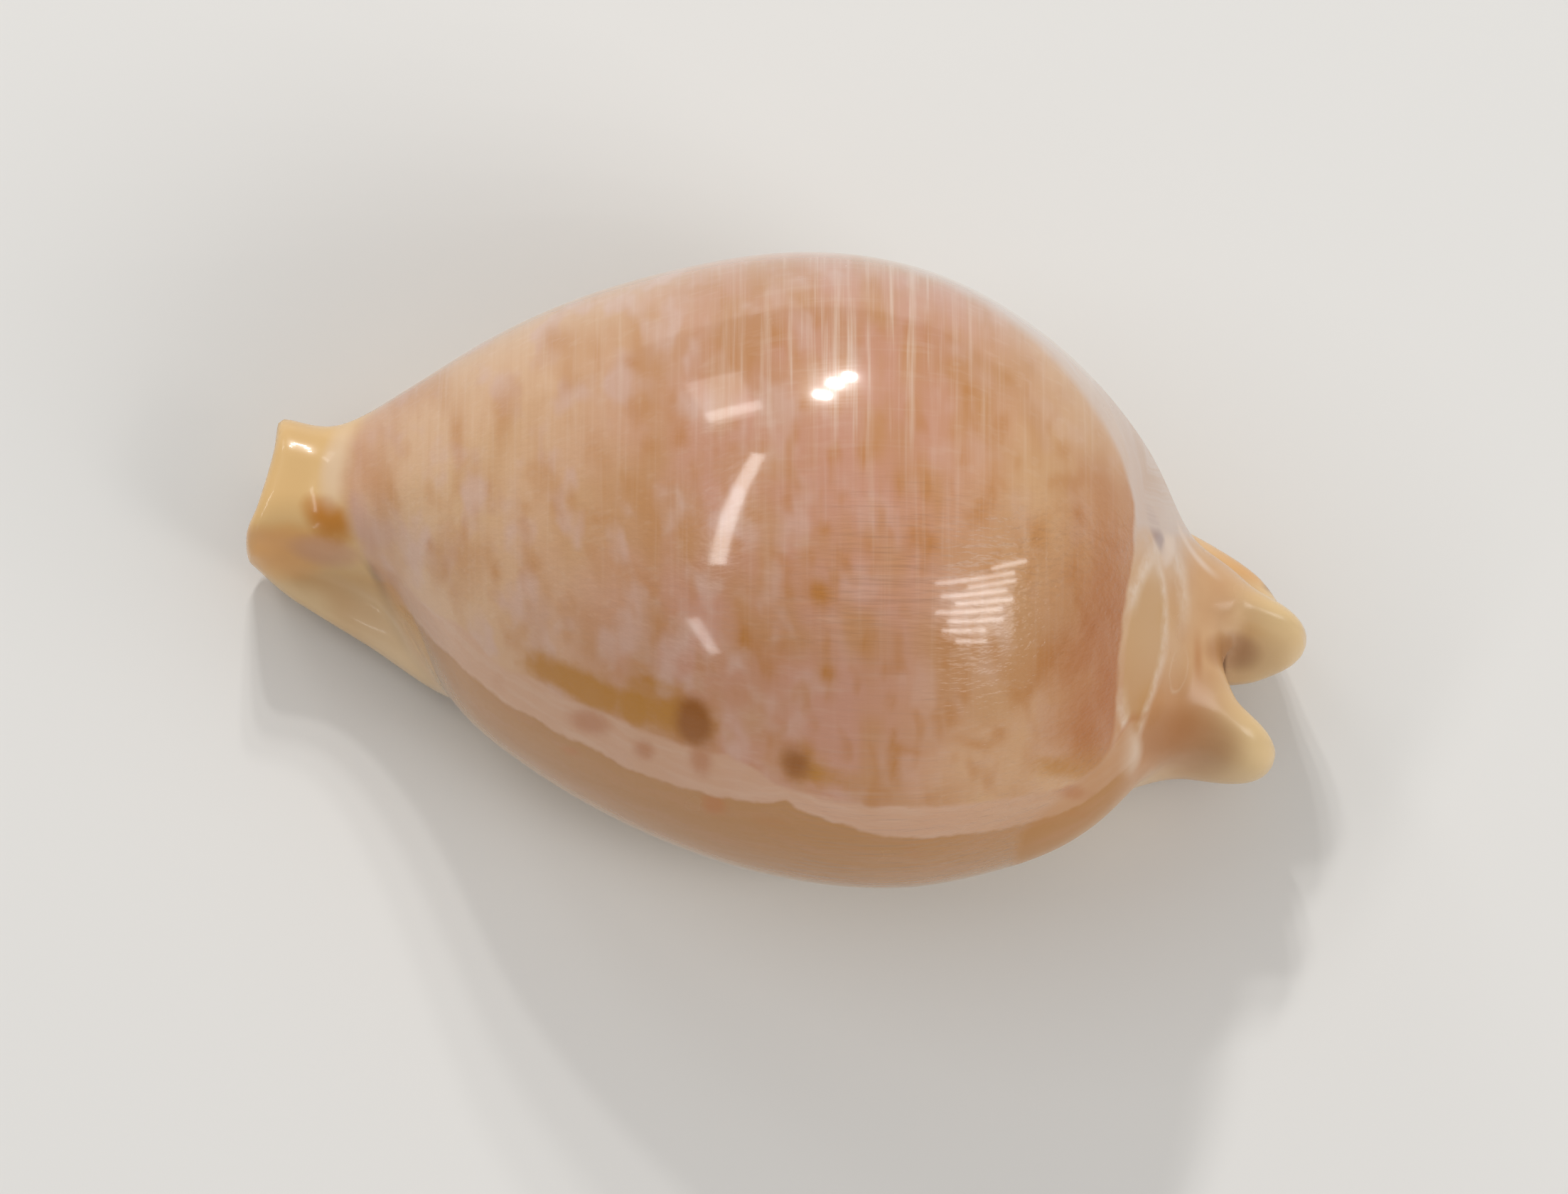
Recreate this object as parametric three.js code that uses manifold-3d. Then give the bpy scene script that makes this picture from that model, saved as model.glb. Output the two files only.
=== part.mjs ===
// A cowrie shell, empty, resting on its base.
// Millimetres. +X points to the spire end, +Y to the outer (labral) lip, +Z up to the back.
// The shape is a set of signed-distance forms, negative inside, blended with rounded joins.
// Spheres and boxes are pushed out to those forms and then joined and cut as solids.

import * as THREE from "three";
import { mergeVertices } from "three/addons/utils/BufferGeometryUtils.js";
import Module from "manifold-3d";

const wasm = await Module();
wasm.setup();

// Driving dimensions

const BODY_FRONT = -32.5;
const BODY_BACK = 27.6;
const WALL = 1.5;
const BASE_THICKNESS = 3.3;
const UPPER_ROUNDNESS = 2.0;
const LOWER_ROUNDNESS = 2.35;

// The back is seen tilted by this angle, and the spout's end is cut square to that view,
// along this line of [height in the view, x].
const VIEW_TILT = THREE.MathUtils.degToRad(20);
const VIEW_HEIGHT = 9;
const RIM_LINE = spline([
  [-7, -34.4], [-3.7, -35.15], [-1.5, -34.8], [1.4, -34.5], [3, -34.5], [4.6, -34.8],
]);

// Middle of the finished shell's box in the coordinates of the profiles below
const MIDDLE_X = -0.052;
const MIDDLE_Y = 0.214;

// Body: half-widths on each side and heights, along the body from -1 (front) to 1 (back)

const LABRAL_HALF = spline([
  [-1, 12.5], [-0.92, 13.2], [-0.78, 14.4], [-0.65, 16.1], [-0.5, 17.5], [-0.3, 18.8],
  [0, 20.65], [0.28, 21.6], [0.55, 21.75], [0.75, 21.95], [0.88, 22.6], [1, 23],
]);
const COLUMELLAR_HALF = spline([
  [-1, 7], [-0.92, 7.2], [-0.784, 8], [-0.717, 9.8], [-0.65, 12.2], [-0.584, 14.4],
  [-0.517, 15.8], [-0.42, 16.9], [-0.25, 18.3], [0, 19.9], [0.28, 21.4], [0.48, 22.3],
  [0.68, 22.9], [0.88, 24.4], [1, 25],
]);
const CROWN_HEIGHT = spline([
  [-1, 6], [-0.92, 8], [-0.784, 11.2], [-0.65, 13.7], [-0.5, 15.7], [-0.3, 18],
  [-0.05, 20.3], [0.15, 21.8], [0.35, 23], [0.55, 24], [0.7, 24.2], [0.85, 23.6], [1, 21],
]);
const BELLY_DEPTH = spline([
  [-1, 9], [-0.75, 10.5], [-0.5, 11.1], [-0.25, 11.9], [0, 12.6], [0.25, 13.3],
  [0.5, 14.1], [0.75, 15.4], [1, 16.5],
]);
const WIDEST_Z = spline([
  [-32, 6.5], [-20, 9.5], [-10, 11.3], [0, 12.2], [10, 12.2], [20, 10.8], [28, 8.5],
]);

// Base callus: its outline and thickness, which show as flanges at both ends

const BASE_COLUMELLAR = spline([
  [-34.5, -2], [-33.6, -3.7], [-32, -5.1], [-30, -6], [-26, -7.5], [-20, -9.9], [-12, -10],
  [12, -9.2], [20, -9], [25, -7.1], [28, -5.4], [31, -4.9], [33.5, -3.9],
]);
const BASE_LABRAL = spline([
  [-34.5, 3.4], [-33, 5.1], [-30, 7.2], [-26, 8.8], [-20, 10.6], [-12, 10.5], [0, 10],
  [12, 10.3], [20, 11.5], [25, 11.2], [28, 10.3], [31, 8.8], [33.5, 6.4],
]);
const BASE_UNDERSIDE = spline([
  [-34, 1.6], [-25, 0.9], [-12, 1.2], [0, 1.5], [12, 1.3], [24, 1], [33, 1.8],
]);
const BASE_TOP = spline([[-34, 5.2], [-30, 4.4], [-25, 4.4], [-12, 5], [24, 5], [30, 5], [33, 5.6]]);
const BASE_EDGE_RADIUS = 1.7;
const BASE_BACK = 33;

// Spout at the front: half-width, which flares at the rim, and top

const SPOUT_HALF = spline([[-34.6, 5.1], [-33.4, 4.85], [-31.5, 4.6], [-29.5, 4.5], [-26, 4.3]]);
const SPOUT_TOP = spline([[-34.6, 9.7], [-33.4, 9.75], [-31.5, 9.9], [-29.5, 10.1], [-26, 10.2]]);
const SPOUT_BOTTOM = 1.5;
const SPOUT_Y = 0.6;
const SPOUT_RADIUS = 3.6;
const SPOUT_BACK = -20;

// Lumps at the spire end, and the hollow beside the spout: centre, radii, squareness, turn, pitch

const NECK = lump([25.6, 0.6, 7.4], [5.4, 6.6, 6.1], 3, 0, -4);
const LABRAL_TIP = lump([29.4, 3.25, 7.7], [6.1, 2.5, 5.2], 2.5, -6, -5);
const COLUMELLAR_TIP = lump([29.4, -3.15, 7.4], [5.3, 2.4, 4.7], 2.3, -24, -6);
const BRIDGE = lump([29, -0.3, 7.4], [4.6, 3.2, 4.6], 2.7, -10, -5);
const VALLEY = lump([-27.6, -7.6, 7.6], [5.6, 1.9, 3.3], 2, -33, 0);

// Open canal between the two tips: its walls in plan, how far the labral wall leans out,
// and how round its upper edges are on either side

const CANAL_LABRAL = spline([[28, -0.4], [29.6, 0.5], [30.4, 1.35], [31.5, 1.6], [35, 1.8]]);
const CANAL_COLUMELLAR = spline([
  [28, 0.3], [29.4, -0.4], [30, -1.1], [30.6, -1.85], [31.3, -2.55], [32.5, -3.15], [34, -3.65],
]);
const CANAL_START = 29.75;
const CANAL_LEAN = 0.16;
const CANAL_LEAN_FROM = 6.5;
const CANAL_FILLET = { columellar: 2.2, labral: 4.6 };
const CANAL_FILLET_Y = { columellar: -2, labral: 2 };

// Aperture: the long narrow mouth under the shell, from the spout to the canal

const MOUTH_Y = spline([
  [-35, 0.4], [-28, 0.6], [-20, 1.4], [-10, 2.2], [0, 2.6], [10, 2.6], [18, 2.1],
  [24, 1.2], [29, 0.3], [33, -1],
]);
const MOUTH_WIDTH = spline([[-35, 3.9], [-28, 3.7], [-20, 3.7], [-10, 3.4], [0, 3.1], [10, 3], [29, 3]]);
const MOUTH_CEILING = 7.8;
const MOUTH_BACK = 30;
const VAULT_START = 5.2;
const VAULT_RISE = 2.9;

// Teeth: the slim grooves that part them, across both lips of the mouth

const TOOTH_PITCH = { labral: 2.15, columellar: 2.05 };
const TOOTH_OFFSET = { labral: 0.5, columellar: 0.2 };
const GROOVE_LENGTH = { labral: 2.5, columellar: 2.0 };
const GROOVE_WIDTH = 0.62;
const GROOVE_DEPTH = 0.6;
const GROOVE_SHIFT = 0.2;
const LIP_REST = 0.8;
const TEETH_FRONT = -28;
const TEETH_BACK = 25;

// How far the cutting solids reach past the shell
const PAST_FRONT = -37;
const PAST_BACK = 37;
const PAST_TOP = 16;
const PAST_BASE = -2;

// Blend radii where one form grows into the next

const BLEND_BASE = 3.2;
const BLEND_BASE_END = 2.6;
const BLEND_SPOUT = 3.6;
const BLEND_SPOUT_END = 1.4;
const BLEND_RIM = 1.7;
const BLEND_BRIDGE = 1;
const BLEND_TIPS = 2.4;
const BLEND_NECK = 5;
const BLEND_VALLEY = 2;
const BLEND_CANAL = 1.5;
const BLEND_CHAMBER = 2.5;

// A smooth curve through [place, value] knots, level beyond its ends
function spline(knots) {
  const slope = (a, b) => (b[1] - a[1]) / (b[0] - a[0]);
  const last = knots.length - 1;
  const slopes = knots.map((_, i) => slope(knots[Math.max(i - 1, 0)], knots[Math.min(i + 1, last)]));
  return (place) => {
    const at = THREE.MathUtils.clamp(place, knots[0][0], knots[last][0]);
    const next = Math.max(1, knots.findIndex((knot) => knot[0] >= at));
    const [x0, y0] = knots[next - 1];
    const [x1, y1] = knots[next];
    const span = x1 - x0;
    const t = (at - x0) / span;
    const ease = t * t * (3 - 2 * t);
    const leave = t * (1 - t) * (1 - t) * span * slopes[next - 1];
    const arrive = t * t * (t - 1) * span * slopes[next];
    return y0 + (y1 - y0) * ease + leave + arrive;
  };
}

// Union of two forms with a rounded join
function join(a, b, radius) {
  const h = Math.max(radius - Math.abs(a - b), 0) / radius;
  return Math.min(a, b) - (h * h * h * radius) / 6;
}

// The part that two forms share, with a rounded edge
function meet(a, b, radius) {
  return -join(-a, -b, radius);
}

// Distance to a rectangle with rounded corners, in its own plane
function roundedRectangle(p, q, halfP, halfQ, radius) {
  const dp = Math.abs(p) - halfP + radius;
  const dq = Math.abs(q) - halfQ + radius;
  return Math.hypot(Math.max(dp, 0), Math.max(dq, 0)) + Math.min(Math.max(dp, dq), 0) - radius;
}

// Distance to a squared-off ellipsoid, turned about Z and then pitched
function lump(centre, radii, squareness, turnDegrees, pitchDegrees) {
  const turn = THREE.MathUtils.degToRad(turnDegrees);
  const pitch = THREE.MathUtils.degToRad(pitchDegrees);
  const grain = 1e-6;
  return (x, y, z) => {
    const along = Math.cos(turn) * (x - centre[0]) + Math.sin(turn) * (y - centre[1]);
    const across = -Math.sin(turn) * (x - centre[0]) + Math.cos(turn) * (y - centre[1]);
    const up = z - centre[2];
    const local = [
      Math.cos(pitch) * along + Math.sin(pitch) * up,
      across,
      -Math.sin(pitch) * along + Math.cos(pitch) * up,
    ];
    const ratios = local.map((value, i) => Math.abs(value) / radii[i] + grain);
    const size = ratios.reduce((sum, r) => sum + r ** squareness, 0) ** (1 / squareness);
    const steep = Math.hypot(...ratios.map((r, i) => r ** (squareness - 1) / radii[i]));
    return (size - 1) / (size ** (1 - squareness) * steep);
  };
}

// Height of a point in the plane that the tilted view shows
function viewHeight(y, z) {
  return y * Math.cos(VIEW_TILT) + (z - VIEW_HEIGHT) * Math.sin(VIEW_TILT);
}

// The swollen body, without its ends
function body(x, y, z) {
  const half = (BODY_BACK - BODY_FRONT) / 2;
  const along = (x - (BODY_BACK + BODY_FRONT) / 2) / half;
  const place = THREE.MathUtils.clamp(along, -1, 1);
  const width = y > 0 ? LABRAL_HALF(place) : COLUMELLAR_HALF(place);
  const rise = z - WIDEST_Z(x);
  const height = rise > 0 ? CROWN_HEIGHT(place) : BELLY_DEPTH(place);
  const n = rise > 0 ? UPPER_ROUNDNESS : LOWER_ROUNDNESS;
  const across = Math.abs(y) / width + 1e-9;
  const up = Math.abs(rise) / height + 1e-9;
  const girth = (across ** n + up ** n) ** (1 / n);
  const size = Math.hypot(along, girth) + 1e-9;
  const slopes = [
    along / half,
    girth * (girth ** (1 - n) * across ** (n - 1)) / width,
    girth * (girth ** (1 - n) * up ** (n - 1)) / height,
  ];
  return (size - 1) / (Math.hypot(...slopes) / size + 1e-9);
}

// The callus under the body, drawn out into flanges at both ends
function base(x, y, z) {
  const low = BASE_COLUMELLAR(x);
  const high = BASE_LABRAL(x);
  const under = BASE_UNDERSIDE(x);
  const top = BASE_TOP(x);
  const slab = roundedRectangle(
    y - (low + high) / 2,
    z - (under + top) / 2,
    (high - low) / 2,
    (top - under) / 2,
    BASE_EDGE_RADIUS,
  );
  return meet(slab, x - BASE_BACK, BLEND_BASE_END);
}

// The squared-off tube at the front
function spout(x, y, z) {
  const top = SPOUT_TOP(x);
  const tube = roundedRectangle(
    y - SPOUT_Y,
    z - (top + SPOUT_BOTTOM) / 2,
    SPOUT_HALF(x),
    (top - SPOUT_BOTTOM) / 2,
    SPOUT_RADIUS,
  );
  return meet(tube, x - SPOUT_BACK, BLEND_SPOUT_END);
}

// The neck behind the body and the two tips that grow from it
function tips(x, y, z) {
  let pair = join(LABRAL_TIP(x, y, z), BRIDGE(x, y, z), BLEND_BRIDGE);
  pair = join(pair, COLUMELLAR_TIP(x, y, z), BLEND_BRIDGE);
  return join(NECK(x, y, z), pair, BLEND_TIPS);
}

// How far the canal's labral wall leans out at a height
function canalLean(z) {
  return CANAL_LEAN * (z - CANAL_LEAN_FROM);
}

// The canal between the tips, negative inside it; its slanting walls are scaled to true distance
function canal(x, y, z) {
  const labral = (y - CANAL_LABRAL(x) - canalLean(z)) * 0.85;
  const columellar = (CANAL_COLUMELLAR(x) - y) * 0.75;
  return meet(Math.max(labral, columellar), CANAL_START - x, BLEND_CANAL);
}

// A form with its edges beside the canal rounded off, before the canal itself is cut
function easedAtCanal(form, x, y, z) {
  const place = THREE.MathUtils.inverseLerp(CANAL_FILLET_Y.columellar, CANAL_FILLET_Y.labral, y);
  const share = THREE.MathUtils.clamp(place, 0, 1);
  const radius = THREE.MathUtils.lerp(CANAL_FILLET.columellar, CANAL_FILLET.labral, share);
  const h = Math.max(radius - Math.abs(form + canal(x, y, z)), 0) / radius;
  return form + (h * h * h * radius) / 6;
}

// The whole outside, before the canal and the mouth are cut
function outside(x, y, z) {
  let form = join(body(x, y, z), base(x, y, z), BLEND_BASE);
  form = join(form, spout(x, y, z), BLEND_SPOUT);
  form = meet(form, RIM_LINE(viewHeight(y, z)) - x, BLEND_RIM);
  form = join(form, tips(x, y, z), BLEND_NECK);
  form = meet(form, -VALLEY(x, y, z), BLEND_VALLEY);
  return easedAtCanal(form, x, y, z);
}

// The hollow where the animal lived
function chamber(x, y, z) {
  return meet(body(x, y, z) + WALL, BASE_THICKNESS - z, BLEND_CHAMBER);
}

// A closed solid from a geometry whose faces point outwards
function solid(geometry) {
  const bare = geometry.index ? geometry.toNonIndexed() : geometry.clone();
  bare.deleteAttribute("normal");
  bare.deleteAttribute("uv");
  const merged = mergeVertices(bare);
  return new wasm.Manifold(
    new wasm.Mesh({
      numProp: 3,
      vertProperties: merged.attributes.position.array,
      triVerts: new Uint32Array(merged.index.array),
    }),
  );
}

// How far a ray goes from a start inside a form to its surface
function reach(form, start, direction) {
  const step = 0.4;
  const point = (distance) => start.clone().addScaledVector(direction, distance);
  const value = (distance) => form(...point(distance).toArray());
  let near = 0;
  while (value(near + step) < 0) {
    near += step;
  }
  let far = near + step;
  for (let i = 0; i < 24; i += 1) {
    const middle = (near + far) / 2;
    if (value(middle) < 0) {
      near = middle;
    } else {
      far = middle;
    }
  }
  return point(near);
}

// A sphere, poles along X, pushed out to a form from a straight axis inside it.
// Rays leave the axis square to it, and fan out from its two ends over the caps.
function inflate(form, { axisStart, axisEnd, around, rings, capShare }) {
  const geometry = new THREE.SphereGeometry(1, around, rings);
  geometry.rotateZ(Math.PI / 2);
  geometry.deleteAttribute("normal");
  geometry.deleteAttribute("uv");
  const ball = mergeVertices(geometry);
  const position = ball.attributes.position;
  const direction = new THREE.Vector3();
  for (let i = 0; i < position.count; i += 1) {
    direction.fromBufferAttribute(position, i);
    const share = Math.acos(THREE.MathUtils.clamp(-direction.x, -1, 1)) / Math.PI;
    const middle = THREE.MathUtils.clamp((share - capShare) / (1 - 2 * capShare), 0, 1);
    const capAngle = (Math.min(share, 1 - share, capShare) / capShare) * (Math.PI / 2);
    const side = share < 0.5 ? -1 : 1;
    const round = new THREE.Vector2(direction.y, direction.z).setLength(Math.sin(capAngle));
    const ray = new THREE.Vector3(side * Math.cos(capAngle), round.x, round.y).normalize();
    const start = new THREE.Vector3().lerpVectors(axisStart, axisEnd, middle);
    position.setXYZ(i, ...reach(form, start, ray).toArray());
  }
  return ball;
}

// A long box whose sides follow two curves in plan
function channel({ start, end, steps, low, high, floor, ceiling }) {
  const geometry = new THREE.BoxGeometry(1, 1, 1, steps, 1, 6);
  const position = geometry.attributes.position;
  for (let i = 0; i < position.count; i += 1) {
    const x = THREE.MathUtils.lerp(start, end, position.getX(i) + 0.5);
    const z = THREE.MathUtils.lerp(floor, ceiling, position.getZ(i) + 0.5);
    const y = position.getY(i) < 0 ? low(x, z) : high(x, z);
    position.setXYZ(i, x, y, z);
  }
  return geometry;
}

// The mouth, with a vault-shaped ceiling
function mouthGeometry() {
  const vault = (z) => Math.sqrt(Math.max(1 - (Math.max(z - VAULT_START, 0) / VAULT_RISE) ** 2, 0));
  return channel({
    start: PAST_FRONT,
    end: MOUTH_BACK,
    steps: 26,
    low: (x, z) => MOUTH_Y(x) - (MOUTH_WIDTH(x) / 2) * vault(z),
    high: (x, z) => MOUTH_Y(x) + (MOUTH_WIDTH(x) / 2) * vault(z),
    floor: PAST_BASE,
    ceiling: MOUTH_CEILING,
  });
}

// The canal between the tips, open at the back and right through from top to base
function canalGeometry() {
  return channel({
    start: CANAL_START,
    end: PAST_BACK,
    steps: 9,
    low: (x) => CANAL_COLUMELLAR(x),
    high: (x, z) => CANAL_LABRAL(x) + canalLean(z),
    floor: PAST_BASE,
    ceiling: PAST_TOP,
  });
}

// One groove between two teeth: a slim spindle that lies across the lip
function groove(x, side) {
  const lip = MOUTH_Y(x) + side * (MOUTH_WIDTH(x) / 2);
  const length = side > 0 ? GROOVE_LENGTH.labral : GROOVE_LENGTH.columellar;
  const spindle = new THREE.SphereGeometry(1, 6, 5);
  spindle.rotateX(Math.PI / 2);
  spindle.scale(GROOVE_WIDTH, length, GROOVE_DEPTH);
  const under = underside(x, lip + side * LIP_REST);
  spindle.translate(x, lip + side * GROOVE_SHIFT, under);
  return solid(spindle);
}

// Height of the base's underside at a place beside the mouth
function underside(x, y) {
  const step = 0.05;
  let z = -1;
  while (outside(x, y, z) > 0) {
    z += step;
  }
  return Math.max(z, 0);
}

// Every groove on one lip
function grooves(side) {
  const name = side > 0 ? "labral" : "columellar";
  const pitch = TOOTH_PITCH[name];
  const found = [];
  for (let n = Math.ceil(TEETH_FRONT / pitch); (n + TOOTH_OFFSET[name]) * pitch < TEETH_BACK; n += 1) {
    found.push(groove((n + TOOTH_OFFSET[name]) * pitch, side));
  }
  return found;
}

// The finished shell as one closed geometry, standing on z = 0
function shellGeometry() {
  const skin = solid(
    inflate(outside, {
      axisStart: new THREE.Vector3(-30.5, 0.6, 5.8),
      axisEnd: new THREE.Vector3(28.5, 0, 7.4),
      around: 58,
      rings: 52,
      capShare: 0.19,
    }),
  );
  const hollow = solid(
    inflate(chamber, {
      axisStart: new THREE.Vector3(-22, 0.4, 6.4),
      axisEnd: new THREE.Vector3(18, 0.4, 9),
      around: 24,
      rings: 18,
      capShare: 0.2,
    }),
  );
  const ground = new THREE.BoxGeometry(100, 100, 10);
  ground.translate(0, 0, -5);
  const cutters = [
    hollow,
    solid(mouthGeometry()),
    solid(canalGeometry()),
    ...grooves(1),
    ...grooves(-1),
    solid(ground),
  ];
  const mesh = cutters.reduce((shape, cutter) => shape.subtract(cutter), skin).getMesh();
  const geometry = new THREE.BufferGeometry();
  geometry.setAttribute("position", new THREE.BufferAttribute(mesh.vertProperties, 3));
  geometry.setIndex(new THREE.BufferAttribute(mesh.triVerts, 1));
  geometry.translate(-MIDDLE_X, -MIDDLE_Y, 0);
  geometry.computeVertexNormals();
  return geometry;
}

const enamel = new THREE.MeshStandardMaterial({ color: 0xd9a982, roughness: 0.16, metalness: 0 });
const shell = new THREE.Mesh(shellGeometry(), enamel);
shell.name = "shell";

const cowrie = new THREE.Group();
cowrie.add(shell);

export default cowrie;
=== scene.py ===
"""The finished look of a cowrie shell that lies on its base, seen from its back.

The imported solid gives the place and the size. The shell's skin is made anew around it as a fine
mesh that settles on the same smooth forms, and one enamel with the back's markings covers it.
"""

import logging
import math
from dataclasses import dataclass, field
from enum import Enum
from typing import Union

import bmesh
import bpy
import numpy as np
from mathutils import Matrix, Vector


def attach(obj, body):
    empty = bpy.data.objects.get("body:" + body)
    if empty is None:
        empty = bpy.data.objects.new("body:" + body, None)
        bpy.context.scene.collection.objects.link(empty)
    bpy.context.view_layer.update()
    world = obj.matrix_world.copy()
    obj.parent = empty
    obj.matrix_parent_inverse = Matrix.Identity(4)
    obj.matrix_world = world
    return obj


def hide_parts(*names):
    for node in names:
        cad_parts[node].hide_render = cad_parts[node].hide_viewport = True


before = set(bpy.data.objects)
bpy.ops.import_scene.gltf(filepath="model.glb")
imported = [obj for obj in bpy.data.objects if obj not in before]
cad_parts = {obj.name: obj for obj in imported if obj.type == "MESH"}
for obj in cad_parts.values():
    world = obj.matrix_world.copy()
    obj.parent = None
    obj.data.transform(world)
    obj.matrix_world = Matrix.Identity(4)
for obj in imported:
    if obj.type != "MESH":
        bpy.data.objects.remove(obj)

LOG = logging.getLogger("cowrie")
MM = 0.001
Array = np.ndarray
Colour = tuple[float, float, float, float]
Socket = bpy.types.NodeSocket

# The photograph's view: how far it leans from straight above, how far the shell is rolled in it,
# and the height in millimetres at which the leaning view's heights are counted from.
VIEW_TILT = math.radians(20.0)
VIEW_ROLL = math.radians(11.0)
VIEW_HEIGHT = 9.0

# The growth lines of the back run down the leaning view with this much drift towards the spire end.
GROWTH_LEAN = 0.19

# How fast a painted spot fades away from its middle: the exponent at its half-size.
SPOT_FALL = 0.8

# Middle of the finished shell's box, in the coordinates of the profiles below, in millimetres.
MIDDLE = (-0.052, 0.214)


def linear(level: int) -> float:
    """Turns one channel of a screen colour, 0 to 255, into linear light."""
    share = level / 255.0
    return share / 12.92 if share <= 0.04045 else ((share + 0.055) / 1.055) ** 2.4


def srgb(red: int, green: int, blue: int) -> Colour:
    """Turns a screen colour of 0 to 255 into linear light."""
    return (linear(red), linear(green), linear(blue), 1.0)


@dataclass(frozen=True)
class Curve:
    """A smooth curve through (place, value) knots, level beyond its ends."""

    knots: tuple[tuple[float, float], ...]

    def __call__(self, place: Array) -> Array:
        """Reads the curve.

        Args:
            place: Places along the curve, in the unit of its knots.

        Returns:
            The curve's values there.
        """
        xs, ys = np.array(self.knots, float).T
        before = np.maximum(np.arange(len(xs)) - 1, 0)
        after = np.minimum(np.arange(len(xs)) + 1, len(xs) - 1)
        slopes = (ys[after] - ys[before]) / (xs[after] - xs[before])
        at = np.clip(place, xs[0], xs[-1])
        left = np.clip(np.searchsorted(xs, at, side="right") - 1, 0, len(xs) - 2)
        span = xs[left + 1] - xs[left]
        t = (at - xs[left]) / span
        ease = t * t * (3 - 2 * t)
        leave = t * (1 - t) ** 2 * span * slopes[left]
        arrive = t * t * (t - 1) * span * slopes[left + 1]
        return ys[left] + (ys[left + 1] - ys[left]) * ease + leave + arrive


def join(a: Array, b: Array, radius: float) -> Array:
    """Unites two signed forms with a rounded join of the given radius."""
    h = np.maximum(radius - np.abs(a - b), 0) / radius
    return np.minimum(a, b) - h**3 * radius / 6


def meet(a: Array, b: Array, radius: float) -> Array:
    """Keeps what two signed forms share, with a rounded edge."""
    return -join(-a, -b, radius)


def rounded_rectangle(p: Array, q: Array, half_p: Array, half_q: Array, radius: float) -> Array:
    """Gives the distance to a rectangle with rounded corners in its own plane.

    Args:
        p: Places along the first side.
        q: Places along the second side.
        half_p: Half the first side.
        half_q: Half the second side.
        radius: The corners' radius.

    Returns:
        Signed distances, negative inside.
    """
    dp = np.abs(p) - half_p + radius
    dq = np.abs(q) - half_q + radius
    return np.hypot(np.maximum(dp, 0), np.maximum(dq, 0)) + np.minimum(np.maximum(dp, dq), 0) - radius


def view_height(y: Array, z: Array) -> Array:
    """Height of a point in the plane that the leaning view shows, in millimetres."""
    return y * math.cos(VIEW_TILT) + (z - VIEW_HEIGHT) * math.sin(VIEW_TILT)


@dataclass(frozen=True)
class Lump:
    """A squared-off ellipsoid, turned about Z and then pitched."""

    centre: tuple[float, float, float]
    radii: tuple[float, float, float]
    squareness: float
    turn: float = 0.0
    pitch: float = 0.0

    def __call__(self, x: Array, y: Array, z: Array) -> Array:
        """Gives the signed distance of points in millimetres, about exact near the surface.

        Args:
            x: Places along the shell, in millimetres.
            y: Places across it.
            z: Heights above the base plane.

        Returns:
            Signed distances in millimetres, negative inside.
        """
        turn, pitch = math.radians(self.turn), math.radians(self.pitch)
        cx, cy, cz = self.centre
        along = math.cos(turn) * (x - cx) + math.sin(turn) * (y - cy)
        across = -math.sin(turn) * (x - cx) + math.cos(turn) * (y - cy)
        nose = math.cos(pitch) * along + math.sin(pitch) * (z - cz)
        top = -math.sin(pitch) * along + math.cos(pitch) * (z - cz)
        grain = 1e-6
        n = self.squareness
        ratios = [np.abs(v) / r + grain for v, r in zip((nose, across, top), self.radii)]
        size = sum(r**n for r in ratios) ** (1 / n)
        steep = np.sqrt(sum((r ** (n - 1) / radius) ** 2 for r, radius in zip(ratios, self.radii)))
        return (size - 1) / (size ** (1 - n) * steep)


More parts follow.
